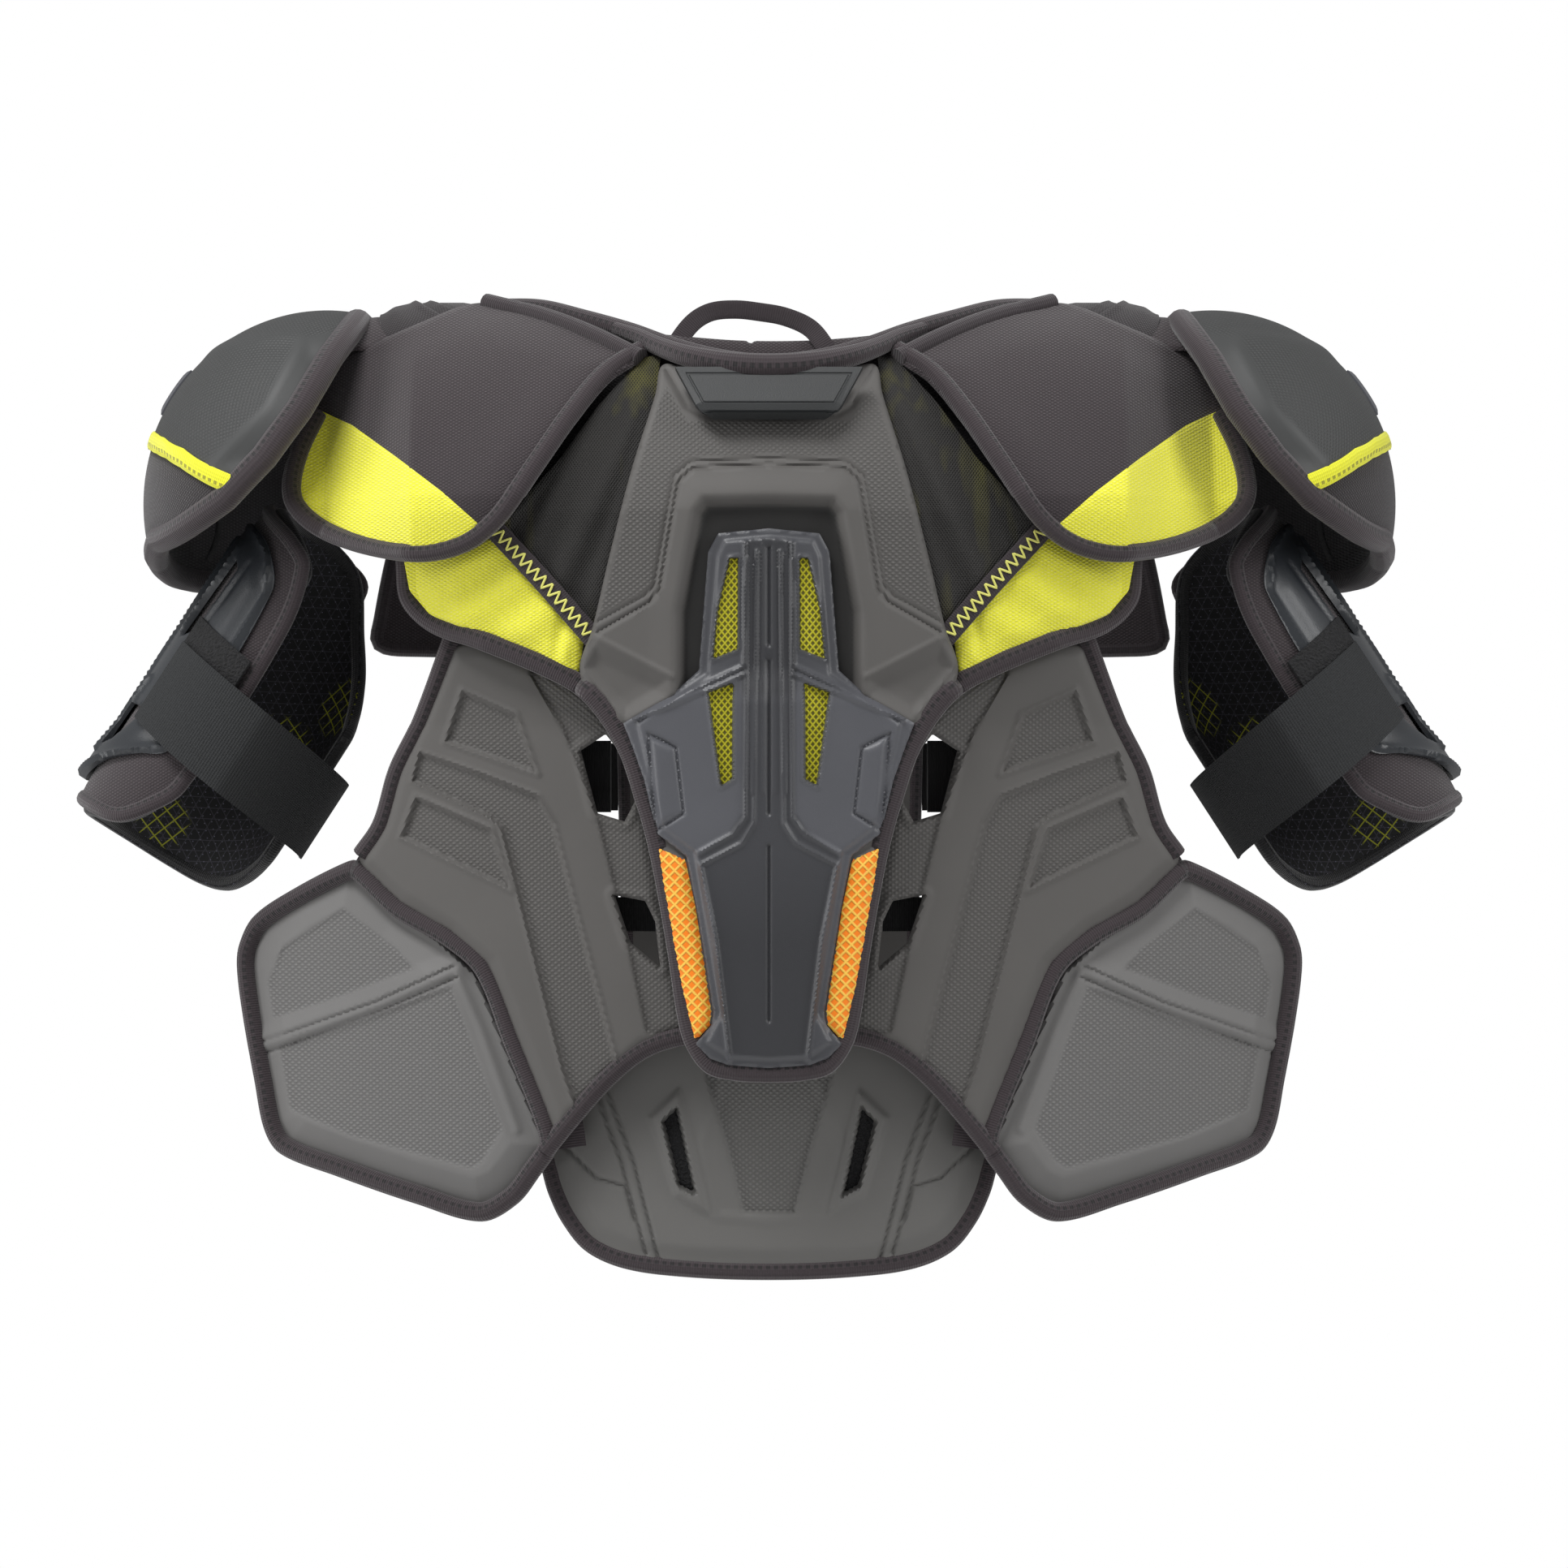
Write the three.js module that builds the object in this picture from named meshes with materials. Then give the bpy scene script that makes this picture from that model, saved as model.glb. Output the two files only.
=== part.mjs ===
// Hockey shoulder pads: collar, arches, chest piece, front panels and liner are one body;
// flaps, caps, arm guards, arm straps, rib wings, belly pad and back panel move on it.
// Millimetres, +Z up, front faces -Y, origin in the neck opening.
import * as THREE from 'three';

// ---- driving dimensions ----
const CHEST_DEPTH = 100;      // body surface in front of the centre line
const BACK_DEPTH = 85;        // body surface behind the centre line
const SHOULDER_DROP = 88;     // below this depth under the origin the chest is upright
const SHOULDER_RISE = 110;    // height of the quarter round from there to the ridge
const CAP_CENTRE = [241, 0, -79];
const CAP_RADII = [101, 100, 106];
const CAP_WALL = 11;
const ARM_TOP = [241, 0, -114];
const ARM_TILT = 33 * Math.PI / 180;
const ARM_U = 10;             // arm axis lies this far inward of the guard's top point
const LIP = 0.5;              // least gap between neighbouring solids

const group = new THREE.Group();

// ---- materials ----
const look = (color, roughness, metalness = 0) =>
  new THREE.MeshStandardMaterial({ color, roughness, metalness });
const MESH_FABRIC = look(0x423a3d, 0.95);
const BINDING = look(0x4e4448, 0.9);
const FOAM = look(0x5f5e5c, 0.75);
const CAP_FOAM = look(0x474848, 0.8);
const PLASTIC = look(0x4b4e55, 0.35);
const YELLOW = look(0xe9e84c, 0.7);
const ORANGE = look(0xff8c28, 0.6);
const SHELL = look(0x323539, 0.4);
const ELASTIC = look(0x26282a, 0.9);
const LINER = look(0x171718, 0.95);

// ---- building blocks ----
// One closed body from points and faces, turned so that its faces look outward.
function solid(name, points, faces, material) {
  let volume = 0;
  for (const [a, b, c] of faces) {
    const [p, q, r] = [points[a], points[b], points[c]];
    volume += p[0] * (q[1] * r[2] - q[2] * r[1]);
    volume += p[1] * (q[2] * r[0] - q[0] * r[2]);
    volume += p[2] * (q[0] * r[1] - q[1] * r[0]);
  }
  const index = [];
  for (const [a, b, c] of faces) {
    if (volume > 0) index.push(a, b, c);
    else index.push(a, c, b);
  }
  const geometry = new THREE.BufferGeometry();
  geometry.setAttribute('position', new THREE.Float32BufferAttribute(points.flat(), 3));
  geometry.setIndex(index);
  const mesh = new THREE.Mesh(geometry, material);
  mesh.name = name;
  group.add(mesh);
  return mesh;
}

// A pad between two skins given on the same grid of rows and columns.
function pad(name, rows, cols, outer, inner, material) {
  const points = [];
  const faces = [];
  const count = (rows + 1) * (cols + 1);
  for (const skin of [outer, inner]) {
    for (let i = 0; i <= rows; i++) {
      for (let j = 0; j <= cols; j++) points.push(skin(i / rows, j / cols));
    }
  }
  const at = (i, j) => i * (cols + 1) + j;
  const quad = (a, b, c, d) => faces.push([a, b, c], [a, c, d]);
  for (let i = 0; i < rows; i++) {
    for (let j = 0; j < cols; j++) {
      quad(at(i, j), at(i, j + 1), at(i + 1, j + 1), at(i + 1, j));
      quad(count + at(i, j), count + at(i + 1, j), count + at(i + 1, j + 1), count + at(i, j + 1));
    }
  }
  for (let i = 0; i < rows; i++) {
    quad(at(i, 0), at(i + 1, 0), count + at(i + 1, 0), count + at(i, 0));
    quad(at(i + 1, cols), at(i, cols), count + at(i, cols), count + at(i + 1, cols));
  }
  for (let j = 0; j < cols; j++) {
    quad(at(0, j + 1), at(0, j), count + at(0, j), count + at(0, j + 1));
    quad(at(rows, j), at(rows, j + 1), count + at(rows, j + 1), count + at(rows, j));
  }
  return solid(name, points, faces, material);
}

// A round bar along points, with one radius per point.
function bar(name, path, radii, sides, closed, material) {
  const curve = path.map((p) => new THREE.Vector3(...p));
  const n = curve.length;
  const points = [];
  const faces = [];
  let normal = null;
  for (let i = 0; i < n; i++) {
    const before = closed ? curve[(i + n - 1) % n] : curve[Math.max(i - 1, 0)];
    const after = closed ? curve[(i + 1) % n] : curve[Math.min(i + 1, n - 1)];
    const along = after.clone().sub(before).normalize();
    if (!normal) normal = new THREE.Vector3(0, 0, 1);
    normal = normal.clone().addScaledVector(along, -normal.dot(along)).normalize();
    const side = along.clone().cross(normal);
    for (let k = 0; k < sides; k++) {
      const a = 2 * Math.PI * k / sides;
      const p = curve[i].clone();
      p.addScaledVector(normal, radii[i][0] * Math.cos(a));
      p.addScaledVector(side, radii[i][1] * Math.sin(a));
      points.push([p.x, p.y, p.z]);
    }
  }
  const spans = closed ? n : n - 1;
  for (let i = 0; i < spans; i++) {
    for (let k = 0; k < sides; k++) {
      const l = (k + 1) % sides;
      const m = (i + 1) % n;
      faces.push([i * sides + k, i * sides + l, m * sides + l]);
      faces.push([i * sides + k, m * sides + l, m * sides + k]);
    }
  }
  if (!closed) {
    for (const i of [0, n - 1]) {
      const hub = points.length;
      const c = curve[i];
      points.push([c.x, c.y, c.z]);
      for (let k = 0; k < sides; k++) {
        const l = (k + 1) % sides;
        if (i === 0) faces.push([hub, i * sides + l, i * sides + k]);
        else faces.push([hub, i * sides + k, i * sides + l]);
      }
    }
  }
  return solid(name, points, faces, material);
}

// The point a fraction of the way along a line of points.
function along(line, t) {
  const steps = [];
  let total = 0;
  for (let i = 1; i < line.length; i++) {
    const d = Math.hypot(...line[i].map((v, k) => v - line[i - 1][k]));
    steps.push(d);
    total += d;
  }
  let left = Math.min(Math.max(t, 0), 1) * total;
  for (let i = 0; i < steps.length; i++) {
    if (left <= steps[i] || i === steps.length - 1) {
      const f = Math.min(left / steps[i], 1);
      return line[i].map((v, k) => v + f * (line[i + 1][k] - v));
    }
    left -= steps[i];
  }
  return line[line.length - 1];
}

// Straight interpolation in a table of [key, value] rows, keys rising.
function table(rows, key) {
  if (key <= rows[0][0]) return rows[0][1];
  for (let i = 1; i < rows.length; i++) {
    if (key <= rows[i][0]) {
      const f = (key - rows[i - 1][0]) / (rows[i][0] - rows[i - 1][0]);
      return rows[i - 1][1] + f * (rows[i][1] - rows[i - 1][1]);
    }
  }
  return rows[rows.length - 1][1];
}

// ---- the wearer's body, which every pad follows ----
// Depth of the chest at height z, a distance d out from the body.
function front(x, z, d) {
  const c = table([[-200, 0.00119], [-88, 0.0008]], z);
  const deep = CHEST_DEPTH - c * x * x + d;
  const up = Math.max(z + SHOULDER_DROP, 0) / (SHOULDER_RISE + d);
  return -deep * Math.sqrt(Math.max(1 - up * up, 0));
}
// The same behind, for the back.
function back(x, z, d) {
  const deep = BACK_DEPTH - 0.0004 * x * x + d;
  const up = Math.max(z + SHOULDER_DROP, 0) / (SHOULDER_RISE + d);
  return deep * Math.sqrt(Math.max(1 - up * up, 0));
}
// A pad on the chest between two outlines, d0 to d1 out from the body (numbers or functions).
function chestPad(name, side, top, bottom, rows, cols, d0, d1, material) {
  const out = (d) => (i, j) => {
    const p = along(top, j);
    const q = along(bottom, j);
    const x = p[0] + i * (q[0] - p[0]);
    const z = p[1] + i * (q[1] - p[1]);
    const far = typeof d === 'function' ? d(x, z) : d;
    return [side * x, front(x, z, far), z];
  };
  return pad(name, rows, cols, out(d1), out(d0), material);
}
// A pad centred on the body, given by half-widths at heights.
function centrePad(name, widths, rows, cols, depth, material) {
  const place = (k) => (i, j) => {
    const row = along(widths.map(([z, w]) => [z, w]), i);
    const x = (2 * j - 1) * row[1];
    return [x, depth(x, row[0], k), row[0]];
  };
  return pad(name, rows, cols, place(1), place(0), material);
}
const SIDES = [['left', -1], ['right', 1]];

// ---- shoulder arches and collar ----
// Angle 0 is the chest front, 90 the ridge, 180 the back.
const ARCH_OUTER = [[38, 200], [50, 204], [62, 209], [75, 212], [90, 212], [105, 212], [120, 213],
  [135, 215], [150, 216]];
const ARCH_INNER = [[38, 16], [43, 52], [50, 80], [58, 104], [66, 124], [75, 146], [83, 157],
  [90, 161], [97, 161], [106, 157], [115, 149], [124, 138], [132, 124], [140, 110], [150, 96]];
for (const [label, side] of SIDES) {
  const skin = (d) => (i, j) => {
    const deg = 38 + 112 * i;
    const a = deg * Math.PI / 180;
    const x = table(ARCH_OUTER, deg) + j * (table(ARCH_INNER, deg) - table(ARCH_OUTER, deg));
    const off = d * (0.6 + 0.4 * Math.min(1, 3 * j));
    const deep = deg < 90 ? CHEST_DEPTH - 0.0008 * x * x : BACK_DEPTH - 0.0004 * x * x;
    return [side * x, -(deep + off) * Math.cos(a), -SHOULDER_DROP + (SHOULDER_RISE + off) * Math.sin(a)];
  };
  pad('arch_' + label, 12, 3, skin(9), skin(0), MESH_FABRIC);
}
const COLLAR_FRONT = [[-151, -8, 30], [-124, -33, 27], [-100, -53, 19.5], [-74, -71, 10.5], [-52, -83, 2.5],
  [-26, -91, -3.5], [0, -93, -5.5]];
const mirrorOn = (line) => line.concat(line.slice(0, -1).reverse().map(([x, y, z]) => [-x, y, z]));
const collarFront = mirrorOn(COLLAR_FRONT);
bar('collar_front', collarFront, collarFront.map(([x]) => {
  const r = 6.5 - 2.5 * Math.abs(x) / 149;
  return [r, r];
}), 8, false, BINDING);
const COLLAR_BACK = [[-150, 4, 29], [-149, 18, 27.5], [-137, 38, 23], [-114, 58, 15], [-86, 72, 7], [-50, 80, 0],
  [0, 83, -2]];
const collarBack = mirrorOn(COLLAR_BACK);
bar('collar_back', collarBack, collarBack.map(([x]) => {
  const r = 4.5 + 4 * (1 - Math.abs(x) / 152);
  return [r + 1, r];
}), 8, false, BINDING);

// ---- hang loop: webbing arch over the back of the collar ----
const HANG = [[-54, 0], [-48, 10], [-40, 18], [-28, 25.5], [-12, 27], [4, 24.5], [18, 19.5], [32, 9], [38, 0]];
{
  const mid = (t) => along(HANG, t);
  const skin = (deep) => (i, j) => {
    const p = mid(j);
    const q = mid(Math.min(j + 0.02, 1));
    const r = mid(Math.max(j - 0.02, 0));
    const l = Math.hypot(q[0] - r[0], q[1] - r[1]);
    const w = 5.2 * (1 - 2 * i);
    return [p[0] - w * (q[1] - r[1]) / l, 97 + deep, p[1] + w * (q[0] - r[0]) / l];
  };
  pad('hang_loop', 1, 14, skin(-1.2), skin(1.2), ELASTIC);
}

// ---- liner behind the chest, carrying the front panels ----
centrePad('front_liner', [[-24, 150], [-50, 186], [-88, 190], [-120, 186], [-160, 168], [-180, 110],
  [-205, 56], [-285, 56], [-350, 52]], 9, 8, (x, z, k) => front(x, z, 4 + 4 * k), LINER);

// ---- chest piece ----
const STERNUM = [[-14, 54], [-26, 59], [-66, 70], [-114, 83], [-150, 91], [-169, 97], [-188, 90], [-207, 84],
  [-233, 76], [-251, 71], [-290, 63], [-334, 56], [-356, 53], [-370, 47], [-382, 34], [-389, 12]];
const chestOut = (z) => table([[-88, 30], [-14, 20]], z);
centrePad('sternum_pad', STERNUM, 18, 6,
  (x, z, k) => front(x, z, chestOut(z) + (z < -356 ? 12 : 14) * k), FOAM);
const SHIELD = [[-99, 27], [-135, 31], [-170, 37], [-186, 56], [-200, 75], [-215, 68], [-250, 58.5], [-257, 50],
  [-263, 43], [-270, 41], [-295, 37], [-350, 28.5], [-364, 29], [-378, 18]];
centrePad('sternum_shield', SHIELD, 20, 6, (x, z, k) => front(x, z, 45 + 6 * k), PLASTIC);

// Neck plate: a flat moulding leaning back with the chest, its front face plane.
{
  const shape = new THREE.Shape();
  const half = [[50, 14], [40, -10], [33, -15]];
  shape.moveTo(-half[0][0], half[0][1]);
  for (const [x, z] of half) shape.lineTo(x, z);
  for (const [x, z] of half.slice().reverse()) shape.lineTo(-x, z);
  const plate = new THREE.ExtrudeGeometry(shape, { depth: 4, bevelEnabled: false });
  const mesh = new THREE.Mesh(plate, FOAM);
  mesh.name = 'neck_plate';
  mesh.rotation.x = Math.PI / 2 - 24 * Math.PI / 180;
  mesh.position.set(0, -131.5, -27);
  group.add(mesh);
}

const WING_TOP = [[195, -117], [164, -110], [143, -103], [122, -133], [104, -152], [100, -157]];
const WING_BOTTOM = [[194, -124], [191, -139], [177, -151], [153, -162], [118, -177], [100, -185]];
const GUSSET_TOP = [[70, -16], [89, -34], [109, -59], [129, -81], [142, -99]];
const GUSSET_BOTTOM = [[62, -22], [69, -48], [76, -81], [86, -114], [94, -147]];
const INSERT_TOP = [[60, -262], [56, -279], [47, -334], [40, -364]];
const INSERT_BOTTOM = [[44, -268], [39, -295], [30.5, -346], [31, -360]];
for (const [label, side] of SIDES) {
  chestPad('chest_wing_' + label, side, WING_TOP, WING_BOTTOM, 4, 10,
    (x) => 28 - table([[165, 0], [195, 9]], x), (x) => 38 - table([[165, 0], [195, 9]], x), YELLOW);
  chestPad('mesh_gusset_' + label, side, GUSSET_TOP, GUSSET_BOTTOM, 4, 8,
    (x, z) => chestOut(z) + 4, (x, z) => chestOut(z) + 7, MESH_FABRIC);
  chestPad('orange_insert_' + label, side, INSERT_TOP, INSERT_BOTTOM, 2, 8, 45, 52, ORANGE);
}

// ---- front panels ----
const PANEL_OUTER = [[172, -158], [191, -198], [204, -224], [213, -253], [221, -266], [194, -293], [168, -308],
  [150, -326], [132, -367], [115, -409], [112, -421]];
const PANEL_INNER = [[92, -190], [99, -205], [91, -246], [82, -282], [74, -315], [65, -350], [52, -366],
  [66, -374], [83, -391], [100, -411], [108, -422]];
for (const [label, side] of SIDES) {
  chestPad('front_panel_' + label, side, PANEL_OUTER, PANEL_INNER, 4, 14, 11, 24, FOAM);
}

// ---- collarbone flaps: they lift at the arches ----
const FLAP_TOP = [[245, -34], [227, -12], [213, 3], [188, 16], [166, 24], [151, 25], [118, 16], [92, 5], [72, -6]];
const FLAP_BOTTOM = [[264, -70], [261, -84], [246, -100], [224, -110], [197, -117], [177, -118], [162, -113],
  [147, -103], [133, -88], [118, -62], [100, -38], [85, -20], [70, -11]];
// The flap's inner face: over the chest it follows the body, under the cap it bends back.
function flapBack(x, z) {
  const chest = front(x, z, table([[-80, 44], [24, 13]], z));
  const under = table([[-110, -68], [-80, -62], [-50, -48], [-30, -39], [0, -29], [20, -26]], z);
  const share = table([[188, 0], [238, 1]], x);
  return chest + share * (under - chest);
}
for (const [label, side] of SIDES) {
  const skin = (out) => (i, j) => {
    const p = along(FLAP_TOP, j);
    const q = along(FLAP_BOTTOM, j);
    const x = p[0] + i * (q[0] - p[0]);
    const z = p[1] + i * (q[1] - p[1]);
    return [side * x, flapBack(x, z) - out * table([[215, 10], [240, 6]], x), z];
  };
  pad('flap_' + label, 5, 14, skin(1), skin(0), MESH_FABRIC);
}

// ---- rib wings ----
const WING_SEAM = [[226, -274], [201, -302], [175, -318], [158, -335], [141, -374], [124, -417], [123, -438]];
const WING_RIM = [[230, -275], [259, -290], [279, -304], [286, -319], [288, -330], [285, -356], [279, -392],
  [273, -418], [264, -431], [232, -442], [188, -455], [153, -464], [136, -455], [125, -442]];
for (const [label, side] of SIDES) {
  chestPad('rib_wing_' + label, side, WING_SEAM, WING_RIM, 5, 12, 11, 24, FOAM);
}

// ---- belly pad ----
centrePad('belly_pad', [[-317, 95], [-350, 110], [-385, 118], [-440, 123], [-455, 115], [-477, 101],
  [-489, 80], [-497, 34]], 10, 8, (x, z, k) => front(x, z, -9 + 11 * k), FOAM);

// ---- shoulder caps ----
// Rim angle from the pole by direction: 0 inner top, 90 front, 180 outer bottom, 270 rear.
const RIM = [[0, 62], [45, 66], [70, 70], [90, 71], [110, 69], [135, 62], [155, 56], [180, 58], [205, 68],
  [225, 78], [250, 84], [270, 84], [300, 76], [330, 66], [360, 62]];
// The yellow strip lies in a slanted plane: its upper and lower edge as a share of the way to the rim.
const STRIP_TOP = [[110, 0.632], [120, 0.468], [130, 0.386], [140, 0.34], [150, 0.318], [160, 0.3], [180, 0.272],
  [200, 0.256], [220, 0.272], [230, 0.308]];
const STRIP_LOW = [[110, 0.872], [120, 0.636], [130, 0.52], [140, 0.46], [150, 0.428], [160, 0.402], [180, 0.366],
  [200, 0.344], [220, 0.368], [230, 0.416]];
const POLE = Math.PI - Math.atan2(0.63, 0.78);
function capPoint(side, share, turn, inset) {
  const open = share * table(RIM, turn) * Math.PI / 180;
  const a = turn * Math.PI / 180;
  const pole = [Math.cos(POLE), 0, Math.sin(POLE)];
  const inward = [Math.sin(POLE), 0, -Math.cos(POLE)];
  const dir = [0, 1, 2].map((k) => Math.cos(open) * pole[k] + Math.sin(open) * Math.cos(a) * inward[k]
    + (k === 1 ? -Math.sin(open) * Math.sin(a) : 0));
  const scale = 1 / Math.hypot(...dir.map((v, k) => v / (CAP_RADII[k] - inset)));
  const p = dir.map((v) => v * scale);
  return [-side * (p[0] - CAP_CENTRE[0]), p[1] + CAP_CENTRE[1], p[2] + CAP_CENTRE[2]];
}
for (const [label, side] of SIDES) {
  const points = [];
  const faces = [];
  const turns = 24;
  const rings = 6;
  for (const inset of [0, CAP_WALL]) {
    points.push(capPoint(side, 0, 0, inset));
    for (let r = 1; r <= rings; r++) {
      for (let k = 0; k < turns; k++) points.push(capPoint(side, r / rings, 360 * k / turns, inset));
    }
  }
  const half = 1 + rings * turns;
  const at = (r, k) => 1 + (r - 1) * turns + k % turns;
  for (let k = 0; k < turns; k++) {
    faces.push([0, at(1, k), at(1, k + 1)]);
    faces.push([half, half + at(1, k + 1), half + at(1, k)]);
    for (let r = 1; r < rings; r++) {
      faces.push([at(r, k), at(r + 1, k), at(r + 1, k + 1)], [at(r, k), at(r + 1, k + 1), at(r, k + 1)]);
      faces.push([half + at(r, k), half + at(r + 1, k + 1), half + at(r + 1, k)]);
      faces.push([half + at(r, k), half + at(r, k + 1), half + at(r + 1, k + 1)]);
    }
    faces.push([at(rings, k), half + at(rings, k), half + at(rings, k + 1)]);
    faces.push([at(rings, k), half + at(rings, k + 1), at(rings, k + 1)]);
  }
  solid('cap_' + label, points, faces, CAP_FOAM);
  const strip = (inset) => (i, j) => {
    const turn = 110 + 120 * j;
    const top = table(STRIP_TOP, turn);
    return capPoint(side, top + i * (table(STRIP_LOW, turn) - top), turn, inset);
  };
  pad('cap_strip_' + label, 2, 18, strip(-2.4), strip(-0.4), YELLOW);
}

// ---- arm guards: panels bent round the upper arm, open to the front and inside ----
// turn 0 is outward, 90 front, -90 back, -180 inward; down is the distance along the arm.
function armPoint(side, turn, down, radius) {
  const a = turn * Math.PI / 180;
  const u = ARM_U - radius * Math.cos(a);
  const x = -ARM_TOP[0] + u * Math.cos(ARM_TILT) - down * Math.sin(ARM_TILT);
  const z = ARM_TOP[2] - u * Math.sin(ARM_TILT) - down * Math.cos(ARM_TILT);
  return [-side * x, -(radius + 3) * Math.sin(a), z];
}
function armPad(name, side, edges, rows, cols, r0, r1, material) {
  const skin = (r) => (i, j) => {
    const turn = edges[0][0] + j * (edges[edges.length - 1][0] - edges[0][0]);
    const top = table(edges.map(([a, t]) => [a, t]), turn);
    const low = table(edges.map(([a, , b]) => [a, b]), turn);
    return armPoint(side, turn, top + i * (low - top), r(turn, top + i * (low - top)));
  };
  return pad(name, rows, cols, skin(r1), skin(r0), material);
}
const ARM_LINER = [[-175, 72, 146], [-160, 60, 164], [-140, 42, 178], [-118, 22, 184], [-91, -6, 186],
  [-60, -14, 186], [-30, -14, 185], [0, -14, 183], [30, -12, 180], [60, -4, 172], [76, 10, 150]];
const ARM_MID = [[-100, 0, 176], [-60, -10, 180], [0, -12, 180], [40, -8, 178], [60, -4, 174], [74, 4, 160],
  [84, 40, 140]];
const ARM_SHELL = [[-58, 20, 160], [-30, 6, 165], [0, 2, 168], [30, 2, 150], [50, 8, 138], [66, 26, 126]];
for (const [label, side] of SIDES) {
  armPad('arm_liner_' + label, side, ARM_LINER, 4, 16, () => 45, () => 51, LINER);
  armPad('arm_mid_' + label, side, ARM_MID, 4, 12, () => 51.5, () => 57, MESH_FABRIC);
  armPad('arm_shell_' + label, side, ARM_SHELL, 5, 8, (t, w) => 57.5 + table([[130, 0], [168, 5]], w),
    (t, w) => 60.5 + table([[130, 0], [168, 5]], w), SHELL);
  const strap = (r) => (i, j) => {
    const turn = 44 + 136 * j;
    const down = 75 + 17 * j + 49 * i;
    return armPoint(side, turn, down, r);
  };
  pad('arm_strap_' + label, 2, 12, strap(64), strap(61.8), ELASTIC);
}

// ---- back ----
centrePad('back_panel', [[-19, 130], [-32, 172], [-60, 200], [-100, 212], [-140, 220], [-156, 222]], 6, 10,
  (x, z, k) => back(x, z, 12 + 12 * k), MESH_FABRIC);
centrePad('spine_pad', [[-158, 84], [-200, 82], [-280, 80], [-350, 72], [-372, 58]], 8, 6,
  (x, z, k) => back(x, z, 12 + 14 * k), FOAM);
// Torso straps run from the spine pad's edges round the ribs to the front panels' slots.
const STRAP_PATH = [[86, 108], [120, 96], [152, 70], [172, 34], [178, 0], [170, -32], [148, -58], [118, -78],
  [84, -88]];
for (const [label, side] of SIDES) {
  const skin = (off) => (i, j) => {
    const p = along(STRAP_PATH, j);
    const q = along(STRAP_PATH, Math.min(j + 0.01, 1));
    const r = along(STRAP_PATH, Math.max(j - 0.01, 0));
    const l = Math.hypot(q[0] - r[0], q[1] - r[1]);
    const x = p[0] - off * (q[1] - r[1]) / l;
    return [side * x, p[1] + off * (q[0] - r[0]) / l, -208 - 38 * i];
  };
  pad('torso_strap_' + label, 1, 14, skin(1.2), skin(-1.2), ELASTIC);
}

export default group;
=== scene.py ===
# %% [markdown]
# # Hockey shoulder pads
# Upper-body protection for ice hockey: a chest piece of moulded foam with a hard shield, padded
# collarbone flaps, domed shoulder caps, arm guards with elastic straps, moulded front panels, rib
# wings and a belly pad, all edged with folded binding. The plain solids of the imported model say
# where everything sits; this script dresses each of them with the real piece.

# %% Set-up
import bpy
import math
import numpy as np
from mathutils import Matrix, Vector, geometry


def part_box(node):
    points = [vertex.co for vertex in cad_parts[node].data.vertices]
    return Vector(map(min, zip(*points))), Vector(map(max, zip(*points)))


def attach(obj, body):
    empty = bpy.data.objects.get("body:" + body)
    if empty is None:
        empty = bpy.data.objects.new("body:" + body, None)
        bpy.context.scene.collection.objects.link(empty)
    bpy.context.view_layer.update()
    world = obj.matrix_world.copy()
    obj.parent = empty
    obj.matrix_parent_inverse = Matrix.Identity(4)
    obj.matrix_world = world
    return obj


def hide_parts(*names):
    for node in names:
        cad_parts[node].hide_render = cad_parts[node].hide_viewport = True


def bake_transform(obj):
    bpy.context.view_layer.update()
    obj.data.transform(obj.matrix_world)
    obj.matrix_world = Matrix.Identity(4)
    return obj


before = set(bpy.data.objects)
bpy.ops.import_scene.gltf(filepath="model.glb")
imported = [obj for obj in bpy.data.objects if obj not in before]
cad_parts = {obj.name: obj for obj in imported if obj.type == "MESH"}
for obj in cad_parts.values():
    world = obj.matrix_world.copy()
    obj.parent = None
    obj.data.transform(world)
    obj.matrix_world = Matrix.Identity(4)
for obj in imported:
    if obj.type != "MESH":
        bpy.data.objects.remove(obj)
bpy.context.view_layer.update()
bpy.ops.object.select_all(action="DESELECT")
MM = 0.001

# %% [markdown]
# The camera comes first. A studio camera stands straight in front, far enough away that the
# perspective is slight, at about the height of the middle of the pads. The light is what a product
# table has: a large soft panel over the front, one at each side, and a pale room all round.

# %% Camera, light and backdrop
VIEW_CENTRE = (7.9, -231.0)
VIEW_WIDTH = 833.0
CAMERA_Y = -3.1
cam_data = bpy.data.cameras.new("camera")
cam_data.sensor_width = 36
cam_data.lens = 36 * (-0.085 - CAMERA_Y) / (VIEW_WIDTH * MM)
camera = bpy.data.objects.new("camera", cam_data)
bpy.context.collection.objects.link(camera)
camera.location = (VIEW_CENTRE[0] * MM, CAMERA_Y, VIEW_CENTRE[1] * MM)
camera.rotation_euler = (math.radians(90), 0, 0)
bpy.context.scene.camera = camera
bpy.context.scene.view_settings.view_transform = "Standard"


def soft_panel(name, spot, aim, size, power):
    bpy.ops.object.light_add(type="AREA", location=spot)
    lamp = bpy.context.object
    lamp.name = name
    lamp.data.shape = "RECTANGLE"
    lamp.data.size, lamp.data.size_y = size
    lamp.data.energy = power
    lamp.rotation_euler = (Vector(aim) - Vector(spot)).to_track_quat("-Z", "Y").to_euler()
    return lamp


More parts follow.
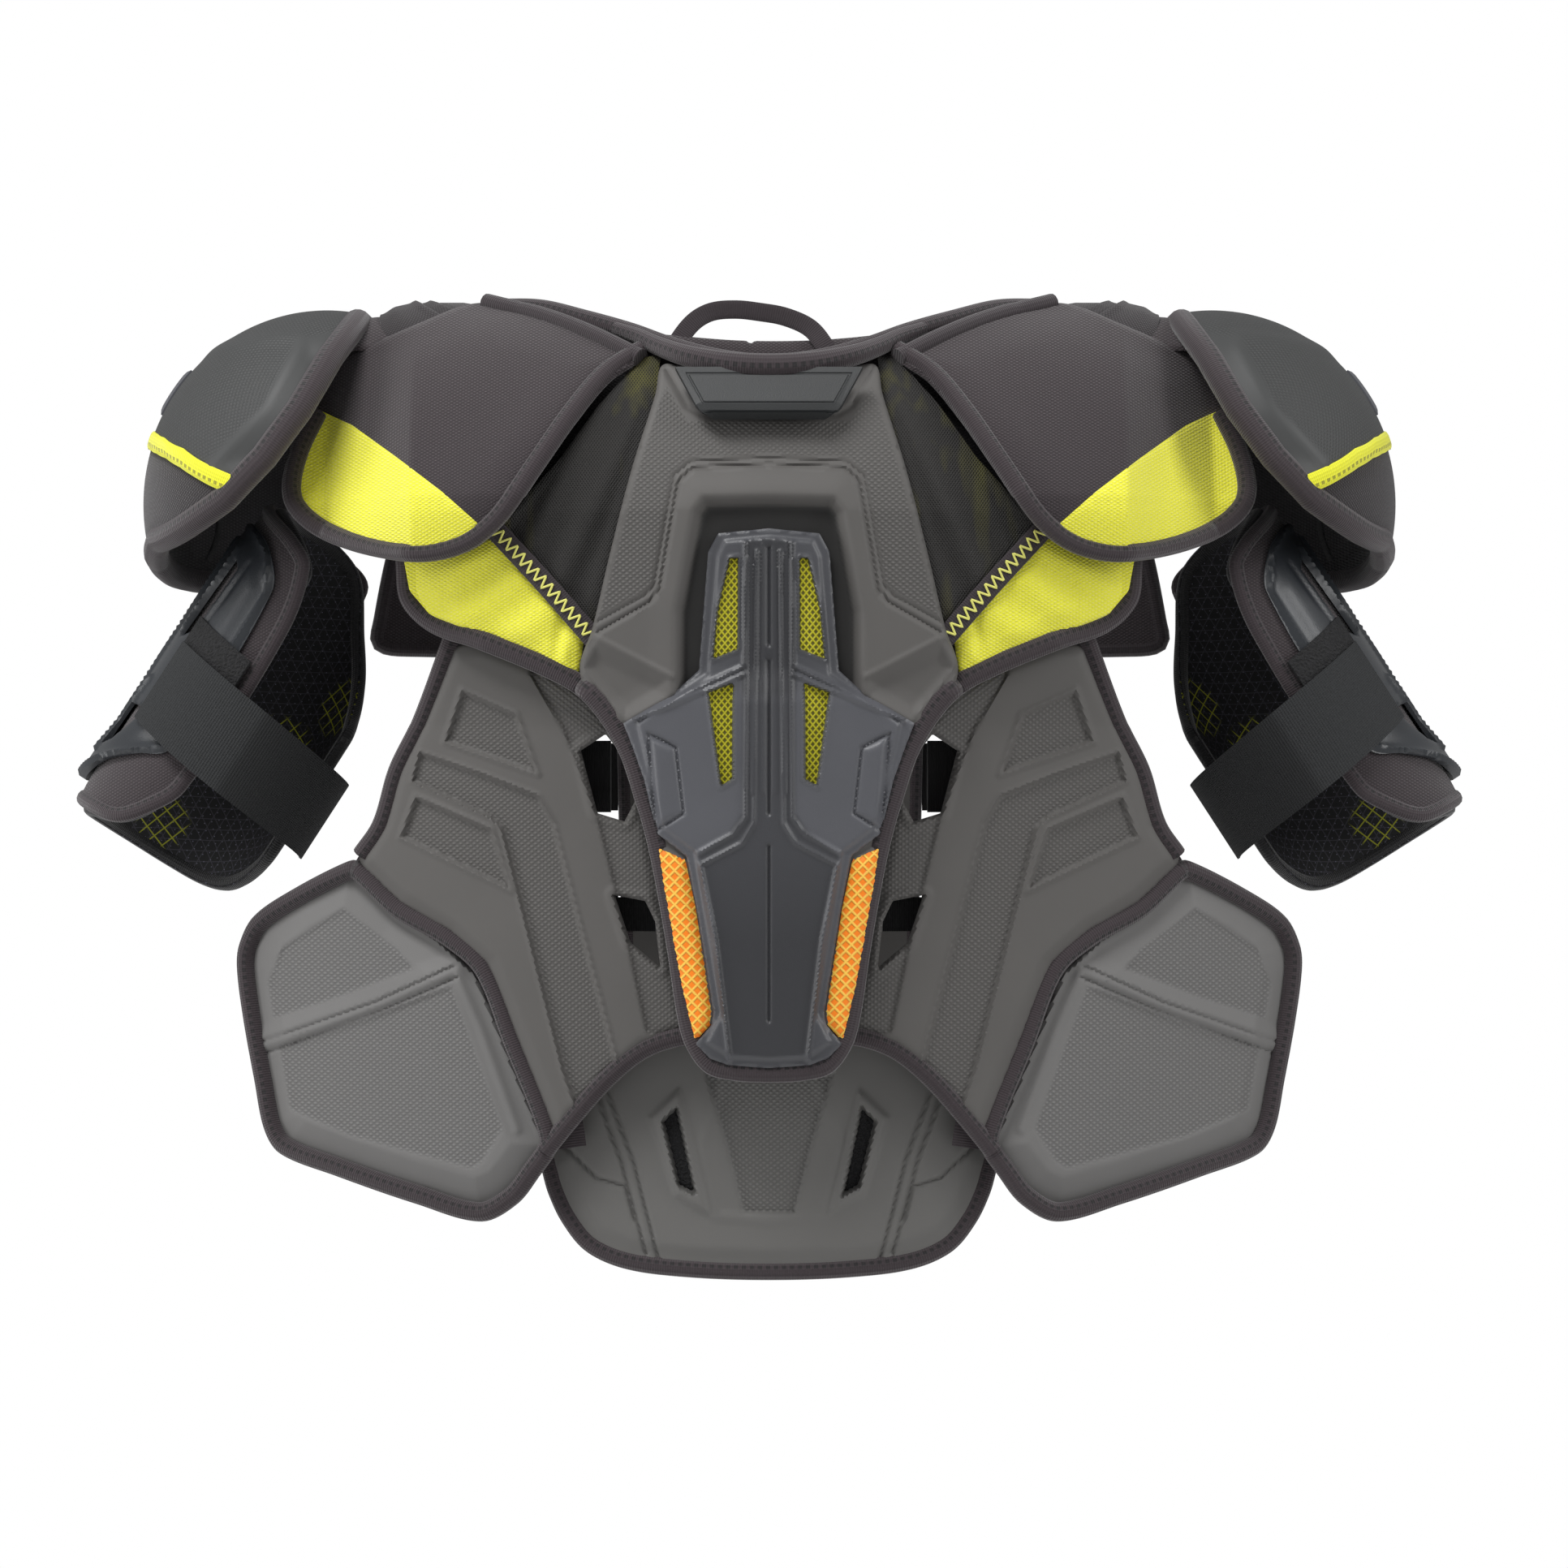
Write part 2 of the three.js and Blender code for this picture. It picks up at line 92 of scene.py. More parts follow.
soft_panel("key_panel", (-0.8, -1.1, 1.7), (0, 0, -0.25), (1.3, 0.8), 41)
soft_panel("right_panel", (1.9, -0.9, 0.7), (0, 0, -0.2), (0.7, 1.6), 20)
soft_panel("left_panel", (-2.1, -0.5, 0.0), (0, 0, -0.2), (0.7, 1.6), 15)
soft_panel("low_panel", (0.2, -1.6, -1.6), (0, 0, -0.3), (1.6, 0.6), 24)
world = bpy.data.worlds.new("room")
bpy.context.scene.world = world
world.use_nodes = True
ambient = world.node_tree.nodes["Background"]
ambient.inputs["Color"].default_value = (1, 1, 1, 1)
seen = world.node_tree.nodes.new("ShaderNodeMapRange")
seen.inputs["To Min"].default_value = 0.38
seen.inputs["To Max"].default_value = 1.0
path = world.node_tree.nodes.new("ShaderNodeLightPath")
world.node_tree.links.new(path.outputs["Is Camera Ray"], seen.inputs["Value"])
world.node_tree.links.new(seen.outputs["Result"], ambient.inputs["Strength"])
print("camera lens", round(cam_data.lens, 1))

# %% [markdown]
# Materials are written as sums on sockets. `Wire` wraps an output socket, so `1 - mask * 0.5` adds
# its Math nodes; `Finish` makes a material, adds any other node by its type and settings, and
# mixes colours through Mix nodes, because a Math node would turn them grey.


# %% Shader helpers
class Wire:
    def __init__(self, nodes, socket):
        self.nodes, self.socket = nodes, socket

    def math(self, operation, *others):
        node = self.nodes.new("ShaderNodeMath")
        node.operation = operation
        for place, value in enumerate((self, *others)):
            if isinstance(value, Wire):
                node.id_data.links.new(value.socket, node.inputs[place])
            else:
                node.inputs[place].default_value = value
        return Wire(self.nodes, node.outputs[0])

    def turned(self, operation, value):
        node = self.nodes.new("ShaderNodeMath")
        node.operation = operation
        node.inputs[0].default_value = value
        node.id_data.links.new(self.socket, node.inputs[1])
        return Wire(self.nodes, node.outputs[0])

    def __add__(self, other):
        return self.math("ADD", other)

    __radd__ = __add__

    def __mul__(self, other):
        return self.math("MULTIPLY", other)

    __rmul__ = __mul__

    def __sub__(self, other):
        return self.math("SUBTRACT", other)

    def __rsub__(self, value):
        return self.turned("SUBTRACT", value)

    def __gt__(self, other):
        return self.math("GREATER_THAN", other)

    def __lt__(self, other):
        return self.math("LESS_THAN", other)


class Finish:
    def __init__(self, name, color, roughness, **sockets):
        self.material = bpy.data.materials.new(name)
        self.material.use_nodes = True
        self.nodes = self.material.node_tree.nodes
        self.links = self.material.node_tree.links
        self.shader = self.nodes["Principled BSDF"]
        self.set(self.shader, {"Base Color": (*color, 1), "Roughness": roughness, **sockets})

    def set(self, node, sockets):
        for key, value in sockets.items():
            if isinstance(value, Wire):
                self.links.new(value.socket, node.inputs[key])
            else:
                node.inputs[key].default_value = value

    def node(self, kind, settings=None, out=0, **sockets):
        made = self.nodes.new("ShaderNode" + kind)
        for key, value in (settings or {}).items():
            setattr(made, key, value)
        self.set(made, {key.replace("_", " "): value for key, value in sockets.items()})
        return Wire(self.nodes, made.outputs[out])

    def place(self, scale=(1, 1, 1), turn=(0, 0, 0), source="Object"):
        spot = self.node("TexCoord", out=source)
        return self.node("Mapping", Vector=spot, Scale=scale, Rotation=turn)

    def mask(self, name):
        return self.node("Attribute", {"attribute_name": name}, out="Fac")

    def mix(self, share, first, second):
        made = self.nodes.new("ShaderNodeMix")
        made.data_type = "RGBA"
        for place, value in ((0, share), (6, first), (7, second)):
            if isinstance(value, Wire):
                self.links.new(value.socket, made.inputs[place])
            elif place:
                made.inputs[place].default_value = (*value, 1)
            else:
                made.inputs[place].default_value = value
        return Wire(self.nodes, made.outputs[2])

    def waves(self, scale, turn=(0, 0, 0), source="Object", axis="X"):
        """0 to 1 stripes, scale of them per metre."""
        spot = self.place((scale, scale, scale), turn, source)
        parts = self.nodes.new("ShaderNodeSeparateXYZ")
        self.links.new(spot.socket, parts.inputs[0])
        line = Wire(self.nodes, parts.outputs["XYZ".index(axis)])
        return line.math("MULTIPLY", 2 * math.pi).math("SINE") * 0.5 + 0.5

    def bump(self, height, strength, distance):
        relief = self.node("Bump", Height=height, Strength=strength, Distance=distance)
        self.set(self.shader, {"Normal": relief})

    def color(self, value):
        self.set(self.shader, {"Base Color": value})


def srgb(*values):
    return tuple(((v / 255 + 0.055) / 1.055) ** 2.4 if v > 10 else v / 3294 for v in values)


# %% [markdown]
# The stage is a round pale floor well below the pads in a room that looks white.

# %% Floor
bpy.ops.mesh.primitive_circle_add(vertices=96, radius=1.5, fill_type="NGON", location=(0, 0, -1.0))
floor = bpy.context.object
floor.name = "studio_floor"
floor.data.materials.append(Finish("floor_paper", (0.93, 0.93, 0.93), 0.9).material)
print("floor", len(floor.data.polygons), "face")

# %% [markdown]
# Moulded foam is heat-pressed: a knitted face fabric is fused to the foam and both are pressed in
# a mould, which leaves smooth bands beside zones of tiny pyramids. The pyramids are two to three
# millimetres apart, too fine to model, so they are a bump: two sets of diagonal stripes multiplied,
# kept inside a vertex mask that each panel carries. Their colour has painted shade in the hollows
# and a painted highlight on the tips. A very fine grain covers everything.


# %% Moulded foam
def moulded_foam(name, color, pitch=2.25, rough=0.58, flat=False):
    foam = Finish(name, color, rough)
    zone = foam.mask("zone")
    per_metre = 1000 / pitch
    a, b = (foam.waves(per_metre, (0, 0, t) if flat else (0, t, 0), "UV" if flat else "Object")
            for t in (math.radians(52), math.radians(-52)))
    pyramids = a * b
    grain = foam.node("TexNoise", Vector=foam.place(), Scale=1900.0, Detail=2.0)
    cloud = foam.node("TexNoise", Vector=foam.place(), Scale=22.0, Detail=3.0)
    foam.bump(pyramids * zone * 1.0 + grain * 0.12, 0.8, 0.0005)
    # dark and lit colour the pyramids: painted shade in their hollows, painted highlight on their tips.
    dark = tuple(c * 0.66 for c in color)
    lit = tuple(min(c * 1.45, 1) for c in color)
    base = foam.mix(cloud, tuple(c * 0.9 for c in color), tuple(c * 1.1 for c in color))
    base = foam.mix(zone * 0.75, base, foam.mix(pyramids, dark, lit))
    base = foam.mix(grain * 0.22, base, tuple(c * 1.5 for c in color))
    # The tone mask paints the foam nearly black there: painted shade.
    base = foam.mix(foam.mask("tone"), base, tuple(c * 0.16 for c in color))
    foam.color(base)
    foam.set(foam.shader, {"Roughness": rough + 0.12 * grain})
    return foam.material


FOAM = moulded_foam("grey_moulded_foam", srgb(86, 84, 82))
# The rib foam is the grey foam painted lighter: painted light on the rib wings.
RIB_FOAM_PAINTED_LIGHT = moulded_foam("rib_foam_painted_light", srgb(107, 106, 105))
# The belly foam is the grey foam painted lighter: painted light on the belly pad, which the lamps reach less.
BELLY_FOAM_PAINTED_LIGHT = moulded_foam("belly_foam_painted_light", srgb(97, 96, 94))
CAP_FOAM = moulded_foam("dark_cap_foam", srgb(61, 62, 62), 2.2, 0.5, flat=True)
print("foams made")

# %% [markdown]
# Fabrics. The padded parts wear a tight warp knit that shows as fine dots with a lighter fleck; the
# binding is a ribbed tape folded over the edges and sewn down, so its pattern follows the tape's
# own length (its UV map) and its stitches are short dark dashes near the inner edge.


# %% Fabrics
def knit(name, color, fleck, pitch=1.5, rough=0.85, flat=False):
    cloth = Finish(name, color, rough, **{"Sheen Weight": 0.25, "Sheen Roughness": 0.5})
    source = "UV" if flat else "Object"
    a, b = (cloth.waves(1000 / pitch, (0, 0, t) if flat else (0, t, 0), source)
            for t in (math.radians(60), math.radians(-60)))
    c = cloth.waves(1000 / pitch, (0, 0, 0), source, "Y")
    weave = a * b
    cloud = cloth.node("TexNoise", Vector=cloth.place(), Scale=260.0, Detail=3.0)
    cloth.bump(weave * (0.7 + 0.3 * c), 0.8, 0.0005)
    cloth.color(cloth.mix(weave * (0.35 + 0.5 * cloud), color, fleck))
    return cloth.material


def tape(name, color, rough=0.85, stitched=True, sewn_with=(0.006, 0.005, 0.006)):
    cloth = Finish(name, color, rough, **{"Sheen Weight": 0.3, "Sheen Roughness": 0.5})
    ribs = cloth.waves(1000 / 1.3, source="UV")
    cross = cloth.mask("edge").math("MULTIPLY", 34).math("SINE") * 0.5 + 0.5
    grain = cloth.node("TexNoise", Vector=cloth.place(), Scale=900.0, Detail=2.0)
    lit = tuple(c * 1.25 for c in color)
    base = cloth.mix((ribs * 0.5 + cross * 0.3) * (0.4 + 0.6 * grain), tuple(c * 0.85 for c in color), lit)
    height = ribs * 0.6 + cross * 0.4
    if stitched:
        dashes = cloth.waves(1000 / 4.2, source="UV") > 0.42
        edge = cloth.mask("edge")
        line = (edge > 0.62) * (edge < 0.80) * (cloth.mask("front") > 0)
        thread = dashes * line
        base = cloth.mix(thread * 0.85, base, sewn_with)
        height = height - line * 1.2 + thread * 0.7
    cloth.bump(height, 0.7, 0.0005)
    cloth.color(base)
    return cloth.material


BROWN_KNIT = knit("brown_padded_knit", srgb(43, 36, 39), srgb(84, 74, 78))
# A darker copy of the brown knit, for the arches and the cap skirts, is painted shade.
PAINTED_SHADE_KNIT = knit("brown_knit_painted_shade", srgb(31, 26, 29), srgb(62, 54, 58), flat=True)
DARK_KNIT = knit("dark_lining_knit", srgb(30, 28, 30), srgb(46, 43, 46))
YELLOW_KNIT = knit("yellow_woven_fabric", srgb(235, 232, 40), srgb(252, 250, 150), 1.7, 0.75)
BINDING = tape("brown_edge_tape", srgb(52, 43, 47))
PLAIN_TAPE = tape("plain_edge_tape", srgb(48, 40, 44), stitched=False)
BLACK_TAPE = tape("black_webbing", srgb(22, 22, 24), 0.8, stitched=False)
YELLOW_TAPE = tape("yellow_strip_tape", srgb(236, 236, 22), 0.7, sewn_with=srgb(140, 136, 20))
print("fabrics made")

# %% [markdown]
# Hard and rubbery parts. The shield is a satin injection moulding with a spark-eroded grain; the
# arm shells are darker and shinier. The impact foam is a translucent orange rubber with a lighter
# diamond lattice, and the vents are backed by a coarse yellow spacer mesh.


# %% Plastics, impact foam and vent mesh
def satin_plastic(name, color, rough):
    hard = Finish(name, color, rough)
    grain = hard.node("TexNoise", Vector=hard.place(), Scale=1500.0, Detail=2.0)
    cloud = hard.node("TexNoise", Vector=hard.place(), Scale=30.0, Detail=2.0)
    hard.bump(grain, 0.3, 0.0003)
    # The tone mask darkens the plastic: on the shield partly as painted shade in its slots, partly in darker
    # parts; on the badge its face.
    tone = hard.mask("tone")
    base = hard.mix(cloud, tuple(c * 0.92 for c in color), tuple(c * 1.1 for c in color))
    hard.color(hard.mix(tone, base, tuple(c * 0.38 for c in color)))
    hard.set(hard.shader, {"Roughness": rough + 0.1 * grain})
    return hard.material


SHIELD_PLASTIC = satin_plastic("grey_shield_plastic", srgb(84, 85, 90), 0.36)
SHELL_PLASTIC = satin_plastic("dark_shell_plastic", srgb(44, 47, 51), 0.3)
PLATE_RUBBER = satin_plastic("neck_plate_rubber", srgb(40, 42, 43), 0.45)


def lattice(name, base, line, pitch, angle, edge=0.6, rough=0.6):
    stuff = Finish(name, base, rough)
    a = stuff.waves(1000 / pitch, (0, math.radians(angle), 0))
    b = stuff.waves(1000 / pitch, (0, math.radians(-angle), 0))
    cords = a.math("MAXIMUM", b)
    sharp = stuff.node("MapRange", Value=cords, From_Min=edge, From_Max=0.97)
    stuff.color(stuff.mix(sharp, base, line))
    stuff.bump(sharp, 0.8, 0.0008)
    return stuff.material


ORANGE = lattice("orange_impact_foam", srgb(255, 134, 8), srgb(255, 204, 80), 4.2, 45)
VENT_MESH = lattice("yellow_vent_mesh", srgb(84, 80, 6), srgb(196, 190, 24), 2.6, 40, 0.35)
THREAD = Finish("pale_yellow_thread", srgb(226, 224, 120), 0.7).material
BLACK_HOOK = Finish("black_hook_pile", (0.006, 0.006, 0.006), 0.95)
pile = BLACK_HOOK.node("TexNoise", Vector=BLACK_HOOK.place(), Scale=700.0, Detail=2.0)
BLACK_HOOK.bump(pile, 1.0, 0.002)
BLACK_HOOK.color(BLACK_HOOK.mix(pile, (0.002, 0.002, 0.002), (0.03, 0.03, 0.032)))
BLACK_HOOK = BLACK_HOOK.material
print("plastics made")

# %% [markdown]
# The body under the pads gives every pad its curve, so the same surfaces are written here as plain
# functions, in millimetres: `chest`, `rear` and `under_flap` give a point at a sideways place and a
# height, so far out from the body; `cap_place` and `arm_place` do it on the domes and sleeves.


# %% Body surfaces
def table(rows, key):
    keys, values = zip(*sorted(rows))
    return np.interp(key, keys, values)


def depth(x, z, far, middle, curve):
    up = np.maximum(z + 88, 0) / (110 + far)
    return (middle - curve * x * x + far) * np.sqrt(np.maximum(1 - up * up, 0))


def chest(spots, far):
    x, z = spots[:, 0], spots[:, 1]
    curve = table([[-200, 0.00119], [-88, 0.0008]], z)
    return np.stack([x, -depth(x, z, far, 100, curve), z], 1)


def rear(spots, far):
    x, z = spots[:, 0], spots[:, 1]
    return np.stack([x, depth(x, z, far, 85, 0.0004), z], 1)


def chest_out(z):
    return table([[-88, 30], [-14, 20]], z)


def on_sternum(spots, far):
    return chest(spots, chest_out(spots[:, 1]) + far)


UNDER_CAP = [[-110, -68], [-80, -62], [-50, -48], [-30, -39], [0, -29], [20, -26]]


def under_flap(spots, far):
    x, z = np.abs(spots[:, 0]), spots[:, 1]
    near = chest(spots, table([[-80, 44], [24, 13]], z))[:, 1]
    share = table([[188, 0], [238, 1]], x)
    y = near + share * (table(UNDER_CAP, z) - near)
    out = far * table([[215, 1], [240, 0.6]], x)
    return np.stack([spots[:, 0], y - out, z], 1)


CAP_RIM = [[0, 62], [45, 66], [70, 70], [90, 71], [110, 69], [135, 62], [155, 56], [180, 58], [205, 68],
           [225, 78], [250, 84], [270, 84], [300, 76], [330, 66], [360, 62]]
CAP_POLE = math.pi - math.atan2(0.63, 0.78)
CAP_CENTRE = np.array([241, 0, -79])
CAP_SIZE = np.array([101, 100, 106])
ARM_X, ARM_Z, ARM_TILT = 241, -114, math.radians(33)
ARM_MIDDLE = 10


def cap_place(spots, inset):
    """Right side: turn in degrees round the dome, share of the way from its pole to its rim."""
    turn, share = spots[:, 0], spots[:, 1]
    wide = np.radians(share * table(CAP_RIM, turn % 360))
    a = np.radians(turn)
    s, c = math.sin(CAP_POLE), math.cos(CAP_POLE)
    way = np.stack([np.cos(wide) * c + np.sin(wide) * np.cos(a) * s,
                    -np.sin(wide) * np.sin(a),
                    np.cos(wide) * s - np.sin(wide) * np.cos(a) * c], 1)
    size = CAP_SIZE - np.reshape(inset, (-1, 1))
    p = way / np.linalg.norm(way / size, axis=1)[:, None]
    return CAP_CENTRE + p * [-1, 1, 1]


def arm_place(spots, radius):
    """Right side: turn in degrees round the sleeve (0 outwards, 90 front), millimetres down it."""
    a, down = np.radians(spots[:, 0]), spots[:, 1]
    u = ARM_MIDDLE - radius * np.cos(a)
    x = -ARM_X + u * math.cos(ARM_TILT) - down * math.sin(ARM_TILT)
    z = ARM_Z - u * math.sin(ARM_TILT) - down * math.cos(ARM_TILT)
    return np.stack([-x, -(radius + 3) * np.sin(a), z], 1)


print("surfaces ready")

# %% [markdown]
# Outlines are short lists of points, half of the width at a time. They are rounded with a spline
# and walked at an even step. A panel is then filled with an even net of triangles, because a relief
# only shows where there are vertices to move; the primitives and the extrude tools can't follow an
# outline like these and still give such a net.


# %% Outlines, nets and panels
ROW_HEIGHT = 0.866
CENTRE_GAP = 0.01


def unit(vectors):
    return vectors / np.linalg.norm(vectors, axis=-1)[..., None]


def run_along(points):
    """Length along a line of points, from its first to each of them."""
    return np.concatenate([[0], np.cumsum(np.linalg.norm(np.diff(points, axis=0), axis=1))])


def laid(place, first, second, far):
    """A grid of points on a dome or sleeve, from the grids of its two coordinates."""
    spots = np.stack([first.ravel(), second.ravel()], 1)
    return place(spots, far.ravel() if np.ndim(far) else far).reshape(*first.shape, 3)


def through_middle(half):
    """A line from its right half, which ends on the centre line, and its mirror."""
    return half + [(-x, *rest) for x, *rest in half[-2::-1]]


def walk(line, step, closed=False, rounded=True):
    """Points at an even step along a line, through its corners by a spline if rounded."""
    p = np.array(line, float)
    if rounded:
        before, after = (p[-1:], p[:2]) if closed else ([2 * p[0] - p[1]], [2 * p[-1] - p[-2]])
        ring = np.vstack([before, p, after])
        out = []
        for i in range(len(ring) - 3):
            a, b, c, d = ring[i:i + 4]
            t = np.linspace(0, 1, 12, endpoint=False)[:, None]
            gap = np.linalg.norm(c - b)
            m1 = (c - a) * gap / max(np.linalg.norm(b - a) + gap, 1e-6)
            m2 = (d - b) * gap / max(np.linalg.norm(d - c) + gap, 1e-6)
            out.append((2 * t**3 - 3 * t**2 + 1) * b + (t**3 - 2 * t**2 + t) * m1
                       + (-2 * t**3 + 3 * t**2) * c + (t**3 - t**2) * m2)
        p = np.vstack(out + ([] if closed else [p[-1:]]))
    if closed:
        p = np.vstack([p, p[:1]])
    run = run_along(p)
    count = max(int(round(run[-1] / step)), 3)
    at = np.linspace(0, run[-1], count + 1)
    p = np.stack([np.interp(at, run, p[:, k]) for k in range(p.shape[1])], 1)
    return p[:-1] if closed else p


def whole(half):
    """A half outline given from its start on the centre line to its end on it, closed by its mirror."""
    half = [tuple(p) for p in half]
    return half + [(-x, *rest) for x, *rest in reversed(half) if abs(x) > CENTRE_GAP]


def away(spots, line, closed=False):
    """Distance of each spot from a line of points."""
    p = np.array(line, float)
    if closed:
        p = np.vstack([p, p[:1]])
    best = np.full(len(spots), 1e9)
    for a, b in zip(p[:-1], p[1:]):
        ab = b - a
        t = np.clip(((spots - a) @ ab) / max(ab @ ab, 1e-9), 0, 1)
        best = np.minimum(best, np.linalg.norm(spots - a - t[:, None] * ab, axis=1))
    return best


def inside(spots, outline):
    p = np.array(outline, float)
    x, z = spots[:, 0], spots[:, 1]
    odd = np.zeros(len(spots), bool)
    for a, b in zip(p, np.roll(p, -1, 0)):
        cross = (a[1] > z) != (b[1] > z)
        with np.errstate(divide="ignore", invalid="ignore"):
            odd ^= cross & (x < (b[0] - a[0]) * (z - a[1]) / (b[1] - a[1]) + a[0])
    return odd


def depth_in(spots, outline):
    """Distance from the outline, above zero inside it and below zero outside."""
    far = away(spots, outline, True)
    return np.where(inside(spots, outline), far, -far)


def ramp(value, width):
    t = np.clip(value / width, 0, 1)
    return t * t * (3 - 2 * t)


def groove(spots, line, width, closed=False):
    """1 on a line, falling to 0 a width away."""
    return 1 - ramp(away(spots, line, closed), width)


def mirrored(spots):
    return np.stack([np.abs(spots[:, 0]), spots[:, 1]], 1)


def net(outline, step, rounded=True, holes=()):
    """Spots, triangles and the loops of spots round the edge and round each hole."""
    loops = [walk(outline, step, True, rounded)] + [walk(hole, step, True, False) for hole in holes]
    for k, loop in enumerate(loops):
        area = np.sum(loop[:, 0] * np.roll(loop[:, 1], -1) - np.roll(loop[:, 0], -1) * loop[:, 1])
        if (area < 0) == (k == 0):
            loops[k] = loop[::-1]
    lo, hi = loops[0].min(0), loops[0].max(0)
    rows = []
    for k, z in enumerate(np.arange(lo[1], hi[1], step * ROW_HEIGHT)):
        x = np.arange(lo[0] + (k % 2) * step / 2, hi[0], step)
        rows.append(np.stack([x, np.full(len(x), z)], 1))
    grid = np.vstack(rows)
    for k, loop in enumerate(loops):
        grid = grid[inside(grid, loop) == (k == 0)]
        grid = grid[away(grid, loop, True) > 0.55 * step]
    ends, rims, count = [], [], 0
    for loop in loops:
        rims.append([count + i for i in range(len(loop))])
        ends += list(zip(rims[-1], rims[-1][1:] + rims[-1][:1]))
        count += len(loop)
    made = geometry.delaunay_2d_cdt([Vector(p) for p in np.vstack([*loops, grid])], ends, [], 1, 1e-5)
    spots, faces = np.array([tuple(p) for p in made[0]]), np.array([tuple(f) for f in made[2]])
    middle = spots[faces].mean(1)
    for loop in loops[1:]:
        keep = ~inside(middle, loop)
        faces, middle = faces[keep], middle[keep]
    return spots, [tuple(int(v) for v in f) for f in faces], rims


def thing(name, points, faces, material, marks=None, uv=None, sharp=40):
    """A mesh object from points in millimetres, with its vertex masks."""
    mesh = bpy.data.meshes.new(name)
    mesh.from_pydata([tuple(p) for p in np.asarray(points) * MM], [], faces)
    for key, values in (marks or {}).items():
        mesh.attributes.new(key, "FLOAT", "POINT").data.foreach_set("value", np.asarray(values, float))
    if uv is not None:
        layer = mesh.uv_layers.new(name="UVMap")
        order = np.empty(len(mesh.loops), int)
        mesh.loops.foreach_get("vertex_index", order)
        layer.data.foreach_set("uv", (np.asarray(uv, float)[order] * MM).ravel())
    mesh.materials.append(material)
    made = bpy.data.objects.new(name, mesh)
    bpy.context.collection.objects.link(made)
    bpy.ops.object.select_all(action="DESELECT")
    bpy.context.view_layer.objects.active = made
    made.select_set(True)
    bpy.ops.object.shade_smooth_by_angle(angle=math.radians(sharp))
    return made


def panel(name, outline, lay, relief, thick, material, step=1.6, roll=2.0, zone=None, tone=None, rounded=True,
          holes=()):
    """A pressed panel: its face follows lay at the height that relief gives, its back is plain."""
    spots, faces, rims = net(outline, step, rounded, holes)
    edge = np.min([away(spots, spots[rim], True) for rim in rims], 0)
    high = relief(spots) if callable(relief) else np.full(len(spots), float(relief))
    if roll:
        t = np.clip(1 - edge / roll, 0, 1)
        high = high - roll * (1 - np.sqrt(1 - t * t))
    n = len(spots)
    points = np.vstack([lay(spots, high), lay(spots, np.full(n, -float(thick)))])
    marks = {"zone": zone(spots) if zone else np.zeros(n), "tone": tone(spots) if tone else np.zeros(n)}
    marks = {key: np.concatenate([v, v * 0]) for key, v in marks.items()}
    faces = faces + [(a + n, c + n, b + n) for a, b, c in faces]
    for rim in rims:
        faces += [(b, a, n + a, n + b) for a, b in zip(rim, rim[1:] + rim[:1])]
    return thing(name, points, faces, material, marks)


def other_side(made, name):
    """The same piece on the left side, as its own mesh."""
    mesh = made.data.copy()
    mesh.name = name
    twin = bpy.data.objects.new(name, mesh)
    bpy.context.collection.objects.link(twin)
    place = np.empty(len(mesh.vertices) * 3)
    mesh.vertices.foreach_get("co", place)
    place[0::3] *= -1
    mesh.vertices.foreach_set("co", place)
    mesh.flip_normals()
    return twin


def face_out():
    """Turns the faces of the piece just made outwards."""
    bpy.ops.object.mode_set(mode="EDIT")
    bpy.ops.mesh.select_all(action="SELECT")
    bpy.ops.mesh.normals_make_consistent(inside=False)
    bpy.ops.object.mode_set(mode="OBJECT")


def tube(name, line, normals, wide, high, material, closed=False, sides=12, shift=0.0):
    """A strip of folded tape along a line of 3-D points: an oval wide across the pad, high out of it.
    shift moves it inwards from the line, across the pad."""
    p, up = np.asarray(line, float), np.asarray(normals, float)
    n = len(p)
    ahead = np.roll(p, -1, 0) - np.roll(p, 1, 0) if closed else np.gradient(p, axis=0)
    ahead = unit(ahead)
    across = unit(np.cross(up, ahead))
    up = np.cross(ahead, across)
    wide = np.broadcast_to(wide, n)[:, None]
    high = np.broadcast_to(high, n)[:, None]
    p = p + across * shift
    rows, edge, front, uv = [], [], [], []
    run = run_along(p)
    for k in range(sides):
        a = 2 * math.pi * k / sides
        rows.append(p + across * wide * math.cos(a) + up * high * math.sin(a))
        edge.append(np.full(n, 0.5 + 0.5 * math.cos(a)))
        front.append(np.full(n, 1.0 if math.sin(a) > -0.01 else 0.0))
        uv.append(np.stack([run, np.full(n, k * 20.0 / sides)], 1))
    points = np.stack(rows, 1).reshape(-1, 3)
    marks = {"edge": np.stack(edge, 1).ravel(), "front": np.stack(front, 1).ravel()}
    faces = []
    for i in range(n if closed else n - 1):
        m = (i + 1) % n
        for k in range(sides):
            q = (k + 1) % sides
            faces.append((i * sides + k, i * sides + q, m * sides + q, m * sides + k))
    if not closed:
        faces += [tuple(reversed(range(sides))), tuple((n - 1) * sides + k for k in range(sides))]
    made = thing(name, points, faces, material, marks, np.stack(uv, 1).reshape(-1, 2), 60)
    face_out()
    return made


def facing(lay, spots, far):
    """Outward normals of a surface at spots."""
    h = 0.5
    a = lay(spots + [h, 0], far) - lay(spots - [h, 0], far)
    b = lay(spots + [0, h], far) - lay(spots - [0, h], far)
    return unit(np.cross(a, b))


def edging(name, outline, lay, out, wide, high, material=BINDING, closed=False, step=2.5, shift=0.0):
    """Binding laid along an outline, its middle line out from the surface."""
    spots = walk(outline, step, closed)
    far = out(spots) if callable(out) else np.full(len(spots), float(out))
    return tube(name, lay(spots, far), facing(lay, spots, far), wide, high, material, closed, shift=shift)


